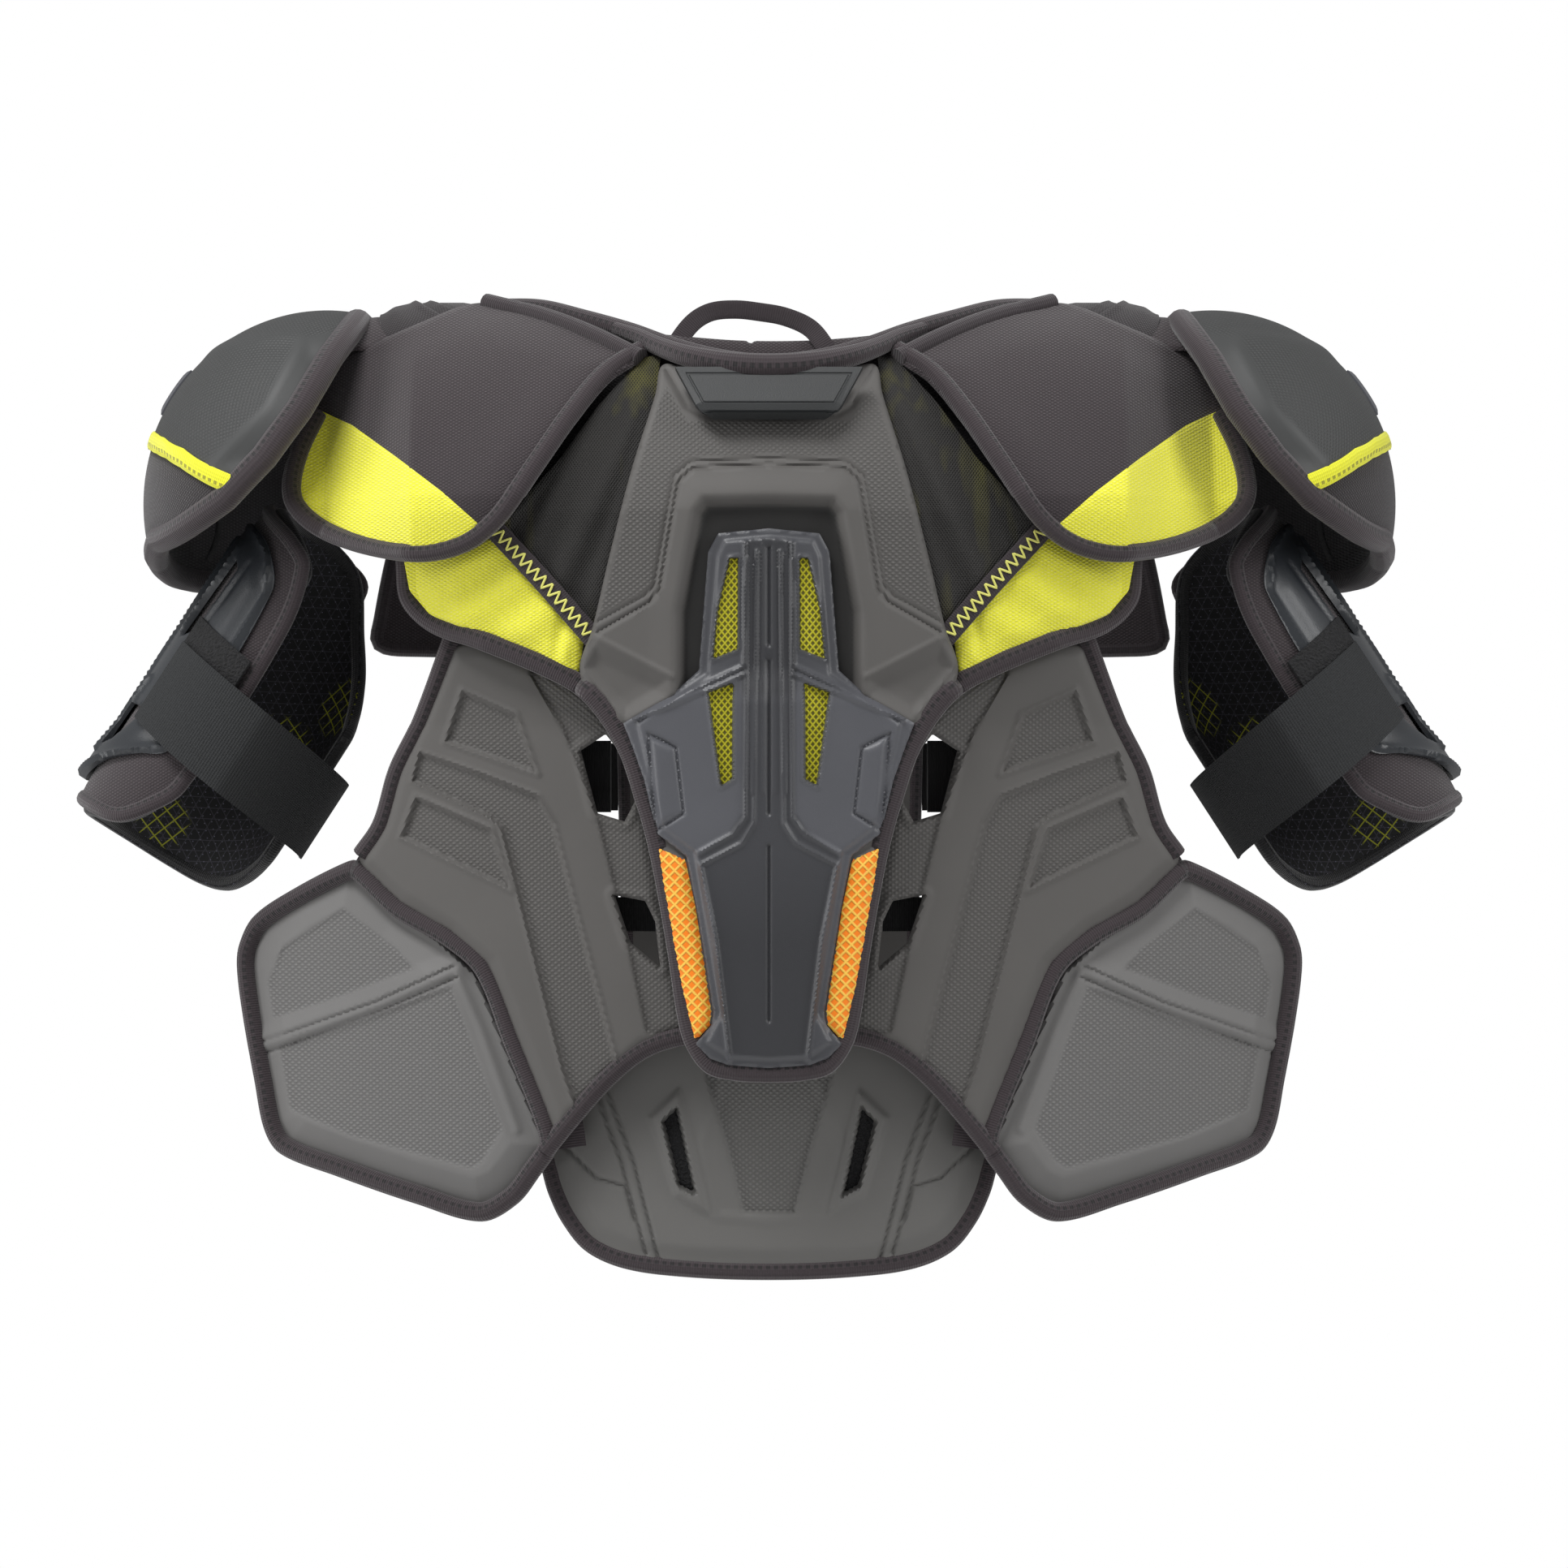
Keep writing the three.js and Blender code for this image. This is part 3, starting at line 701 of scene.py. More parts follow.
MIDDLE_BODIES = ("harness", "belly_body")


def dress(made, body, slot, *nodes, fill=None, ride=True):
    """Puts a finished piece on its body, and hides the solids it stands for."""
    if ride:
        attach(made, body)
    if nodes:
        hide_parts(*nodes)
    return made


def pair(made, body, slot, nodes=(), fill=None):
    """Finishes a right-hand piece and its left-hand twin. Names and bodies end in the side."""
    base = made.name
    twin = other_side(made, base + "_left")
    made.name = base + "_right"
    for side, piece in (("right", made), ("left", twin)):
        where = body if body in MIDDLE_BODIES else body + "_" + side
        dress(piece, where, slot, *[node + "_" + side for node in nodes], fill=fill)
    return made, twin


print("tools ready")

# %% [markdown]
# The sternum pad is one pressed foam plate. A band of tiny pyramids runs down each side, a fine
# double line frames the smooth middle, and a bevelled ring drops into the bed of the shield. The
# wall and bed inside that ring are painted nearly black as painted shade in the recess.

# %% Sternum pad
STERNUM = [(0, -11), (44, -11), (56.3, -10), (59.8, -26.4), (71.7, -66), (84, -114.4), (92.4, -149.6),
           (99, -169.4), (95, -184), (83, -200), (75, -217.8), (68, -239.8), (64.5, -250.8), (59, -272.8),
           (51.3, -316.8), (46, -352), (41.6, -367.4), (32.1, -379.6), (16.7, -383.6), (0, -384.4)]
ZONE = [(-9, -40.9), (43.1, -40.9), (54, -22), (57.2, -28.6), (68.6, -66.9), (81, -115.3), (89.3, -143.5),
        (65.1, -130.5), (60.6, -126), (50.6, -69), (41.5, -60.2), (-9, -58.2)]
FRAME = [(-9, -60.7), (40.9, -62.9), (49.7, -70.4), (59.8, -127.6), (65.1, -132.9), (91.5, -147.4)]
FRAME_IN = [(-9, -63.8), (39.6, -66), (47.1, -73), (56.8, -129.4), (62.5, -136.4), (88.9, -151.4)]
MIDDLE = [*FRAME_IN, (99, -170), (76, -199), (76, -390), (-9, -390)]
RING = [(-9, -79.2), (35.2, -80.1), (40.9, -88), (50.6, -140.8), (50.6, -183.9), (90, -206), (90, -390),
        (-9, -390)]
BED = [(-9, -93.3), (29.9, -94.6), (37.8, -105.6), (40.9, -127.6), (48.4, -180.4), (49.7, -183.9),
       (76.1, -199.3), (74, -215), (60, -262), (45, -270), (39, -296), (30, -350), (31, -358), (39, -368),
       (30, -376), (20, -380), (-9, -381)]
FACET_LINE = [(91.5, -154), (50.6, -175.1)]


def sternum_relief(spots):
    m = mirrored(spots)
    high = 13.2 + 1.5 * ramp(depth_in(m, MIDDLE), 1.6)
    high -= 1.2 * groove(m, FRAME, 1.5) + 1.2 * groove(m, FRAME_IN, 1.5)
    into_ring = depth_in(m, RING)
    upper = ramp(m[:, 1] + 205, 12)
    high += upper * (1.6 * ramp(into_ring + 14, 14.0) - 9.0 * ramp(into_ring, 8.5))
    low = depth_in(m, [(50.6, -175.1), (91.5, -154), (104, -170), (76.1, -203), (49.7, -186.5)])
    high -= 4.5 * ramp(low, 11.0) - 1.0 * groove(m, FACET_LINE, 2.5)
    high -= 1.2 * ramp(depth_in(m, BED), 1.5) * (m[:, 1] < -199)
    high -= 1.2 * groove(m, [(-9, -37.8), (35.2, -37.8), (43.1, -33), (56.3, -8.8)], 2.2)
    return np.minimum(high, np.where(m[:, 1] < -356, 12.5, 17.5))


# The tone mask paints the recess inside the ring round the top of the shield nearly black: painted shade.
sternum = panel("sternum_foam", whole(STERNUM), on_sternum, sternum_relief, 0, FOAM, 1.5, 2.5,
                zone=lambda s: ramp(depth_in(mirrored(s), ZONE), 1.0),
                tone=lambda s: ramp(depth_in(mirrored(s), RING) - 5.0, 2.5) * ramp(s[:, 1] + 205, 12))
dress(sternum, "harness", "foam", "sternum_pad", fill=1.0)
print("sternum", len(sternum.data.polygons), "faces")

# %% [markdown]
# The shield is a satin moulding with vents cut through it. Long parallel ribs follow its edges, a
# row of slots runs down the middle, and two facets spread at its widest place.

# %% Sternum shield
SHIELD = [(0, -97.7), (26.4, -100.3), (31.7, -110), (36.5, -171.6), (49.7, -183.9), (76.1, -199.3),
          (71.7, -210.3), (65.1, -228.8), (59.8, -250.8), (58, -257), (43.1, -268.6), (37.8, -294.8),
          (29, -349.8), (29.9, -356.4), (38.2, -366.4), (30.8, -374), (21.1, -377.5), (0, -379)]
RIB_A = [(12.3, -105.6), (13.2, -169.4), (69.5, -197.1)]
RIB_A2 = [(69.5, -197.1), (47.5, -188.3), (13.2, -173.8)]
RIB_B = [(6.2, -110), (7.9, -251.7), (14.1, -261.8), (35.2, -272.8)]
RIB_C = [(11.4, -114.4), (12.3, -248.6), (18.9, -257), (36.5, -266.6)]
VENT_UP = [(20.7, -113), (15.6, -112.5), (15.8, -161), (29.6, -166.5), (27, -140)]
VENT_LOW = [(32.2, -183), (18.0, -178), (18.3, -228.9), (25.4, -233)]
SLOTS = [(-107.4, -158.4), (-166.3, -246.4), (-263.1, -354.2)]
SIDE_FACET = [(62.9, -204.6), (48.4, -212.1), (44.4, -246.4), (58.5, -255.2)]
LOW_RIDGE = [(35.2, -275), (27.7, -312.4), (20.2, -374)]


SHIELD_FACE = [(-9, -100), (24, -103), (28, -112), (33, -173), (70, -199), (57, -254), (40, -267),
               (26, -350), (34, -366), (20, -375), (-9, -376)]
DARK_MIDDLE = [(-9, -101), (14, -104), (15, -170), (15, -246), (22, -256), (38, -268), (30, -300),
               (22, -372), (-9, -375)]


def shield_relief(spots):
    m = mirrored(spots)
    high = 16.3 - 3.6 * ramp(m[:, 1] + 190, 22) + 2.2 * ramp(depth_in(m, SHIELD_FACE), 3.0)
    for rib, size in ((RIB_A, 1.6), (RIB_A2, 1.4), (RIB_B, 1.4), (RIB_C, 1.4), (LOW_RIDGE, 2.2)):
        high += size * groove(m, rib, 2.0)
    for x in (3.4, 9.2):
        high += 0.7 * groove(m, [(x, -104), (x, -236)], 1.2)
    for top, low in SLOTS:
        high -= 1.6 * groove(m, [(0, top), (0, low)], 1.9)
    high += 1.6 * ramp(depth_in(m, SIDE_FACET), 4.0) * ramp(m[:, 0] - 44, 14)
    high -= 1.6 * groove(m, SIDE_FACET, 1.6, True)
    for vent in (VENT_UP, VENT_LOW):
        near = depth_in(m, vent)
        high += 0.9 * groove(m, vent, 2.0, True)
        high -= 5.2 * ramp(near, 1.4)
    return high


# The middle of the shield between the ribs is darker, and so are its top and its foot; the slots are darkened
# as painted shade in their grooves.
def shield_dark_parts_and_slot_shade(spots):
    m = mirrored(spots)
    dark = 0.75 * ramp(depth_in(m, DARK_MIDDLE), 2.0)
    slots = 0.4 * np.max([groove(m, [(0, a), (0, b)], 1.8) for a, b in SLOTS], 0)
    rest = 0.55 * table([[-375, 1], [-262, 0]], m[:, 1]) + 0.5 * ramp(m[:, 1] + 188, 10)
    return np.clip(dark + slots + rest, 0, 1)


shield = panel("shield_moulding", whole(SHIELD), on_sternum, shield_relief, -9.5, SHIELD_PLASTIC, 1.2, 1.0,
               tone=shield_dark_parts_and_slot_shade, rounded=False)
dress(shield, "harness", "shield_plastic", "sternum_shield")
for label, vent, height in (("upper", VENT_UP, 13.2), ("lower", VENT_LOW, 15.4)):
    mesh_piece = panel("vent_mesh_" + label, vent, on_sternum, height, 1 - height, VENT_MESH, 1.6, 0,
                       rounded=False)
    pair(mesh_piece, "harness", "yellow_fabric")
print("shield", len(shield.data.polygons), "faces")

# %% [markdown]
# Two orange inserts of impact foam lie beside the lower shield. They are cast in one thickness,
# with a lattice cast into the face.

# %% Orange inserts
INSERT = [(58.6, -263), (43.6, -270.3), (38.3, -294.8), (29.6, -349.8), (30.4, -356.4), (38.9, -365.8),
          (46.6, -334.4), (56.3, -279.4)]
insert = panel("orange_foam", INSERT, on_sternum, lambda s: 15.6 + 1.6 * ramp(depth_in(s, INSERT), 6.0),
               -14.2, ORANGE, 1.8, 1.5, rounded=False)
pair(insert, "harness", "impact_foam", ("orange_insert",))

# %% [markdown]
# The chest wing is yellow woven cloth over thin foam, with a fold seam that runs in from the
# sternum, and the sheer gusset above it is dark net that hangs in soft folds. A dark tape with a
# zigzag thread joins the two.

# %% Chest wings and gussets
WING = [(193.5, -112), (190.5, -128.6), (179, -142), (153.1, -152.5), (131.1, -162), (111, -172.5),
        (101, -180.5), (97.2, -156.2), (92.8, -152), (117.9, -124.4), (142, -99), (164.1, -105)]
FOLD = [(106.9, -141.7), (109.1, -149.6), (111.8, -162.8)]


def wing_relief(spots):
    taper = table([[165, 0], [195, 9]], spots[:, 0])
    high = 34.0 - taper + 2.6 * ramp(depth_in(spots, WING), 12.0)
    high -= 1.6 * groove(spots, FOLD, 5.0)
    high += 0.9 * np.sin(spots[:, 0] * 0.16 + spots[:, 1] * 0.21) * ramp(depth_in(spots, WING), 10.0)
    return high


wing = panel("yellow_wing", WING, chest, wing_relief, -28, YELLOW_KNIT, 2.0, 2.0, rounded=False)
pair(wing, "harness", "yellow_fabric", ("chest_wing",), 0.8)

GUSSET = [(57.2, -3.5), (67.3, -5.3), (89.3, -30.8), (109.1, -59.4), (128.9, -81.4), (145.2, -96.8),
          (117.9, -125.4), (92.8, -154), (82.7, -114.4), (71.7, -70.4), (59.8, -26.4)]


def gusset_relief(spots):
    along_fold = spots[:, 0] * 0.9 + spots[:, 1] * 0.42
    fold = np.sin(along_fold * 0.30) * 1.1 + np.sin(along_fold * 0.13 + 1.0) * 0.8
    return 5.6 + fold * ramp(depth_in(spots, GUSSET), 9.0)


gusset_net = Finish("sheer_dark_net", srgb(46, 44, 40), 0.7)
net_a = gusset_net.waves(1000 / 1.3, (0, math.radians(35), 0))
net_b = gusset_net.waves(1000 / 1.3, (0, math.radians(-35), 0))
# The yellow-green glints on the cords are painted sheen, laid in long streaks.
sheen_streaks = gusset_net.node("TexNoise", Vector=gusset_net.place((60, 60, 9), (0, math.radians(-22), 0)),
                          Scale=1.0, Detail=2.0)
cords = net_a.math("MAXIMUM", net_b)
shine = gusset_net.node("MapRange", Value=sheen_streaks, From_Min=0.5, From_Max=0.8)
lit_cord = gusset_net.mix(shine, srgb(42, 40, 38), srgb(104, 101, 38))
gusset_net.color(gusset_net.mix(cords, srgb(14, 14, 14), lit_cord))
gusset_net.bump(cords, 0.8, 0.0006)
gusset = panel("net_gusset", GUSSET, on_sternum, gusset_relief, -4, gusset_net.material, 2.0, 0.8,
               rounded=False)
pair(gusset, "harness", "mesh_fabric", ("mesh_gusset",), 0.3)

BAND = [(145, -96.2), (117.9, -125.4), (91.8, -155)]
band = edging("zigzag_tape", BAND, chest, lambda s: 38.2 - table([[130, 0], [150, 2]], s[:, 0]), 5.6, 1.6,
              PLAIN_TAPE, step=3)
pair(band, "harness", "binding")
line = walk(BAND, 2.7, rounded=False)
sides = np.array([(3.2 if k % 2 else -3.2) for k in range(len(line))])
tilt = np.array([0.735, -0.678])
zig = line + sides[:, None] * tilt
zig = walk(zig, 0.9, rounded=False)
far = 40.2 - table([[130, 0], [150, 2]], zig[:, 0])
thread = tube("zigzag_thread", chest(zig, far), facing(chest, zig, far), 0.6, 0.5, THREAD, sides=6)
pair(thread, "harness", "yellow_fabric")
print("wings, gussets and tapes")

# %% [markdown]
# Binding is a tape folded over an edge and sewn through, so it stands as a flattened roll round
# the edge, with its stitches on the inner side of the front.

# %% Chest binding
CHEST_EDGE = [(197.1, -112.4), (194.5, -134.2), (179.5, -149.2), (153.1, -158.8), (117.9, -173.4),
              (99.4, -183.9), (86.2, -198.9), (75.7, -217.8), (68.6, -239.8), (65.1, -250.8),
              (59.8, -272.8), (51.9, -316.8), (46.6, -352), (42.2, -367.4), (32.1, -380.6), (16.7, -384.6),
              (0, -385.4)]


def chest_edge_out(spots):
    x, z = spots[:, 0], spots[:, 1]
    near = chest_out(z) + 11.5
    return np.where(z > -185, np.minimum(near, 34 - table([[150, 0], [195, 12]], x)), near)


edge = edging("chest_binding", CHEST_EDGE[::-1], chest, chest_edge_out, 5.4, 3.6, step=2.5, shift=4.0)
pair(edge, "harness", "binding")
print("chest binding")

# %% [markdown]
# The front panels are moulded foam too. Two windows and a bent band are pressed deeper and carry
# the pyramids, the strip along the middle is all pyramids, and two slots let the straps through.

# %% Front panels
PANEL = [(169, -157), (187, -196), (200, -222.4), (208.5, -252), (219.5, -268.4), (219, -275), (197, -295),
         (170, -310), (150, -327), (133.5, -367.6), (117, -408.4), (112.5, -420), (99.3, -405.2),
         (81.7, -385.4), (64, -370.5), (43.1, -362.1), (31.9, -360.1), (42, -352), (53, -299.2),
         (61, -250.8), (70, -217.8), (80, -198), (95, -180), (115, -169.4), (150, -155.8)]
WINDOW_A = [(162.8, -180.4), (133.3, -193.6), (121.4, -226.6), (172.9, -209)]
WINDOW_B = [(188.3, -236.7), (146.5, -254.3), (135.5, -288.2), (197.1, -259.6)]
BENT_BAND = [(186.1, -213.4), (150.9, -225.3), (121.4, -236.7), (113.5, -250.8), (76.1, -391.6),
             (86.2, -402.6), (100.3, -407), (109.1, -382.8), (142.1, -254.3), (148.7, -248.6),
             (190.5, -229.7)]
SMOOTH_EDGE = [(126.7, -173.8), (109.1, -202.4), (91.5, -246.4), (78.3, -299.2), (66, -356.4),
               (65.1, -361.7)]
SLOT_UP = [(99.4, -213.4), (86.2, -204.6), (79.2, -213.4), (70.4, -239.8), (76.1, -250.8), (90.6, -246.4)]
SLOT_LOW = [(81.4, -289.5), (65.1, -292.6), (59.8, -303.6), (57.2, -327.8), (73, -314.6)]
LATTICE = [*SMOOTH_EDGE, (40, -372), (20, -350), (60, -200), (100, -150), (127, -165)]


def panel_relief(spots):
    high = np.full(len(spots), 23.0)
    for window in (WINDOW_A, WINDOW_B):
        high += 1.1 * groove(spots, window, 1.9, True) - 2.0 * ramp(depth_in(spots, window) - 0.8, 1.8)
    high -= 2.2 * ramp(depth_in(spots, BENT_BAND), 1.8)
    high += 0.8 * groove(spots, BENT_BAND, 1.8, True)
    high -= 1.8 * ramp(depth_in(spots, LATTICE), 1.8)
    for slot in (SLOT_UP, SLOT_LOW):
        high += 0.9 * (1 - ramp(away(spots, slot, True) - 3.0, 3.0)) * (spots[:, 0] > 0)
    high -= 2.6 * (1 - ramp(depth_in(spots, PANEL), 9.0))
    return high


def panel_zone(spots):
    shapes = [ramp(depth_in(spots, shape) - 1.8, 1.0) for shape in (WINDOW_A, WINDOW_B, BENT_BAND)]
    return np.max([*shapes, 0.8 * ramp(depth_in(spots, LATTICE), 1.2)], 0)


front_panel = panel("front_moulding", PANEL, chest, panel_relief, -12, FOAM, 1.5, 2.2, zone=panel_zone,
                    rounded=False, holes=(SLOT_UP, SLOT_LOW))
pair(front_panel, "harness", "foam", ("front_panel",), 1.0)
PANEL_OUT = [(171.7, -152), (188.5, -195.8), (201.7, -222.2), (210.5, -250.8), (221, -266)]
PANEL_LOW = [(115.3, -427.7), (100.3, -409.2), (82.7, -389.4), (65.1, -374.9), (47.5, -368.3), (29.9, -367)]
for label, outline in (("side", PANEL_OUT[::-1]), ("low", PANEL_LOW[::-1])):
    made = edging("front_panel_binding_" + label, outline, chest, 18.5, 5.0, 5.4, shift=4.2)
    pair(made, "harness", "binding")
print("front panels", len(front_panel.data.polygons), "faces")

# %% [markdown]
# A rib wing is one thick moulding: a smooth bevelled margin, two faces of pyramids that slope away
# from a double crease, and binding sewn all the way round.

# %% Rib wings
RIB = [(224.8, -274.7), (257, -290.5), (276.2, -304.6), (283.6, -318.1), (284.5, -330.9), (281, -357.3),
       (274.4, -391.6), (268.7, -416.1), (260.4, -427.1), (230.9, -437.6), (187.4, -450.3),
       (153.6, -458.7), (136, -449.5), (125, -435.5), (116, -422.4), (123.4, -408.3), (139.3, -370.5),
       (156, -330.9), (174, -315.2), (198.1, -300.2), (219, -280.4)]
CREASE_A = [(281.6, -372.7), (249.9, -361.7), (210.3, -347.6), (167.2, -327.8)]
CREASE_B = [(277.2, -378.4), (245.5, -366.1), (205.9, -351.1), (165.4, -333.5)]
UPPER_FACE = [(227.9, -297), (263.1, -319), (271.9, -338.8), (268.4, -358.6), (232.3, -346.7),
              (188.3, -330), (197.1, -319), (219.1, -303.6)]
LOWER_FACE = [(265.3, -371.8), (205.9, -352), (168.5, -337.9), (153.1, -378.4), (139.9, -413.6),
              (150.9, -431.2), (157.5, -435.6), (223.5, -420.2), (258.7, -407)]


def rib_relief(spots):
    inner = depth_in(spots, RIB)
    high = 16.0 + 6.0 * np.clip((inner - 4) / 14.0, 0, 1)
    high += 2.6 * groove(spots, CREASE_A, 10.0)
    high -= 1.8 * groove(spots, CREASE_A, 1.6) + 1.8 * groove(spots, CREASE_B, 1.6)
    high += 1.4 * groove(spots, [(165.4, -333.5), (153.1, -360.8), (133.3, -413.6)], 4.0)
    for face in (UPPER_FACE, LOWER_FACE):
        high -= 1.1 * ramp(depth_in(spots, face), 1.8)
    return high


# The rib wings wear the foam with painted light.
rib = panel("rib_moulding", RIB, chest, rib_relief, -12, RIB_FOAM_PAINTED_LIGHT, 1.6, 2.2, rounded=False,
            zone=lambda s: np.max([ramp(depth_in(s, face), 1.5) for face in (UPPER_FACE, LOWER_FACE)], 0))
pair(rib, "rib_body", "foam", ("rib_wing",), 1.0)
RIB_EDGE = [(224.8, -272.8), (258.3, -289.5), (278.1, -303.2), (286, -318.1), (287.3, -330.4),
            (283.8, -357.3), (277.2, -391.6), (271.5, -418), (262.7, -430.3), (231.9, -440.9),
            (187.9, -454.1), (152.7, -462.4), (133.8, -452.8), (121.9, -437.8), (112.2, -422.4),
            (114.4, -408.3), (131.1, -367.4), (147.8, -326.9), (168.1, -308.9), (195.4, -293.9),
            (218.2, -273.7)]
rib_edge = edging("rib_wing_binding", RIB_EDGE[::-1], chest, 17.2, 5.2, 5.6, closed=True, shift=4.4)
pair(rib_edge, "rib_body", "binding")
print("rib wings", len(rib.data.polygons), "faces")

# %% [markdown]
# The belly pad hangs behind the chest piece. A field of pyramids narrows down its middle between
# two bevelled slots, which show black hook pile, and pairs of grooves fan out towards its edge.

# %% Belly pad
BELLY = [(0, -330), (84, -332), (108, -352), (116.5, -385), (120.5, -434), (114, -449), (107, -463),
         (95, -476.5), (75.5, -485), (43.1, -489), (0, -490.3)]
CENTRE_FIELD = [(-9, -382.8), (35.2, -382.8), (23.3, -422.4), (14.5, -458.5), (-9, -458.5)]
HOOK_SLOT = [(57.2, -409.2), (48.4, -400.4), (37.8, -449.7), (48.4, -444.4)]
SLOT_SURROUND = [(65.1, -407), (46.6, -389.4), (29, -462), (51, -449.7)]
FAN = ([(91.5, -396), (78.3, -431.2), (65.1, -479.6)], [(85.8, -393.8), (71.7, -431.2), (58.5, -482.7)],
       [(109.1, -422.4), (91.5, -440), (76.1, -444.4), (71.3, -462)])


def belly_relief(spots):
    m = mirrored(spots)
    high = 1.6 - 2.2 * (1 - ramp(depth_in(m, [(-90, -300), *BELLY[1:], (-90, -490)]) - 6, 9.0))
    high -= 2.4 * ramp(depth_in(m, CENTRE_FIELD), 1.8)
    high += 2.6 * ramp(depth_in(m, SLOT_SURROUND), 4.0)
    high -= 8.5 * ramp(depth_in(m, HOOK_SLOT), 1.5)
    for line in FAN:
        high -= 2.0 * groove(m, line, 2.0)
    high += 0.9 * groove(m, [(24, -382), (36, -422), (28, -459), (0, -462)], 5.0)
    return high


belly = panel("belly_moulding", whole(BELLY), chest, belly_relief, 8, BELLY_FOAM_PAINTED_LIGHT, 1.5, 2.2,
              zone=lambda s: ramp(depth_in(mirrored(s), CENTRE_FIELD) - 1, 1.2), rounded=False)
dress(belly, "belly_body", "foam", "belly_pad", fill=1.0)
HOOK_FIELD = [(56.4, -409.4), (48.8, -401.8), (38.7, -448.2), (47.8, -443.4)]
hook = panel("belly_hook_pile", HOOK_FIELD, chest, -3.0, 5.5, BLACK_HOOK, 1.5, 1.0, rounded=False)
pair(hook, "belly_body", "elastic")
BELLY_EDGE = [(121.4, -432), (120, -437), (116.6, -448.8), (109.1, -464.2), (96.8, -478.7), (76.1, -487.5),
              (43.1, -491.5), (0, -492.8)]
belly_edge = edging("belly_binding", through_middle(BELLY_EDGE)[::-1], chest, -3.6, 5.0, 5.4, shift=4.2)
dress(belly_edge, "belly_body", "binding")
print("belly pad", len(belly.data.polygons), "faces")

# %% [markdown]
# The collarbone flaps are padded knit, fullest in the middle, with a corner of yellow cloth laid
# over the foam and a thick rolled edge all round.

# %% Flaps
FLAP = [(245.3, -30.9), (234.3, -3), (215.5, 5.9), (188.3, 16.5), (166.3, 27), (150.9, 28.8),
        (117.9, 18.2), (91.5, 7.2), (68.5, -5.4), (83.7, -18.7), (101.3, -40.6), (118.9, -67),
        (136.5, -92.4), (149.2, -103.6), (161.9, -109.8), (179.5, -112.4), (197.1, -111.1),
        (223.5, -104.5), (243.5, -95.3), (255.3, -81.7), (258, -70.4), (254, -50.6)]
YELLOW_TIP = [(247.3, -28.4), (240.1, -30.6), (223.5, -38.7), (197.1, -58.1), (170.7, -78.3),
              (151.2, -95.6), (156.5, -103.8), (177.3, -108.6), (201.5, -107.6), (230.1, -98.6),
              (247.9, -86.8), (254, -70.4), (250.6, -48.4)]


def flap_puff(spots):
    full = 7.6 + 3.0 * ramp(depth_in(spots, FLAP), 24.0)
    full = full + 0.5 * np.sin(spots[:, 0] * 0.055 + spots[:, 1] * 0.09)
    return full - 5.2 * ramp(spots[:, 0] - 188, 26) * ramp(spots[:, 1] + 105, 30)


flap = panel("flap_padding", FLAP, under_flap, flap_puff, 0, BROWN_KNIT, 2.2, 3.0)
pair(flap, "flap_body", "mesh_fabric", ("flap",), 0.9)
tip = panel("flap_yellow_tip", YELLOW_TIP, under_flap, lambda s: flap_puff(s) + 0.8, -5, YELLOW_KNIT, 2.2,
            0.8, rounded=False)
pair(tip, "flap_body", "yellow_fabric")
FLAP_EDGE = [(247.3, -29.9), (256.1, -50.6), (260, -70.4), (257, -83.6), (244.6, -95.9), (223.5, -105.6),
             (197.1, -112.2), (179.5, -113.5), (161.9, -110), (148.7, -103), (135.5, -90.2),
             (117.9, -64.2), (100.3, -37.8), (82.7, -15.4), (65.1, -3.1)]
flap_edge = edging("flap_binding", FLAP_EDGE[::-1], under_flap, 5.4, 5.2, 5.6, shift=4.2)
pair(flap_edge, "flap_body", "binding")
FLAP_TOP = [(66, -4), (91.5, 9.2), (117.9, 20.2), (150.9, 29.8)]
flap_roll = edging("flap_top_roll", FLAP_TOP[::-1], under_flap, 6.5, 5.0, 5.0, PLAIN_TAPE, shift=3.0)
pair(flap_roll, "flap_body", "binding")
print("flaps", len(flap.data.polygons), "faces")

# %% [markdown]
# The shoulder arches are soft knit pads that run from the chest over the ridge to the back. Two
# raised seams run side by side up each of them, and the inner edge ends in the rolled collar.

# %% Shoulder arches
ARCH_OUTER = [[38, 200], [50, 204], [62, 209], [75, 212], [90, 212], [105, 212], [120, 213], [135, 215],
              [150, 216]]
ARCH_INNER = [[38, 16], [43, 52], [50, 80], [58, 104], [66, 124], [75, 146], [83, 157], [90, 161],
              [97, 161], [106, 157], [115, 149], [124, 138], [132, 124], [140, 110], [150, 96]]


def slab(name, outer, inner, material, marks=None, uv=None, sharp=50):
    """A closed piece between two grids of points, rows by columns by 3."""
    rows, cols = outer.shape[:2]
    n = rows * cols
    at = np.arange(n).reshape(rows, cols)
    faces = []
    for i in range(rows - 1):
        for j in range(cols - 1):
            a, b, c, d = at[i, j], at[i, j + 1], at[i + 1, j + 1], at[i + 1, j]
            faces += [(a, b, c, d), (n + a, n + d, n + c, n + b)]
    rim = [*at[0, :-1], *at[:-1, -1], *at[-1, :0:-1], *at[:0:-1, 0]]
    faces += [(b, a, n + a, n + b) for a, b in zip(rim, rim[1:] + rim[:1])]
    points = np.vstack([outer.reshape(-1, 3), inner.reshape(-1, 3)])
    marks = {key: np.concatenate([v.ravel(), v.ravel() * 0]) for key, v in (marks or {}).items()}
    uv = None if uv is None else np.vstack([uv.reshape(-1, 2)] * 2)
    made = thing(name, points, [tuple(int(v) for v in f) for f in faces], material, marks, uv, sharp)
    face_out()
    return made


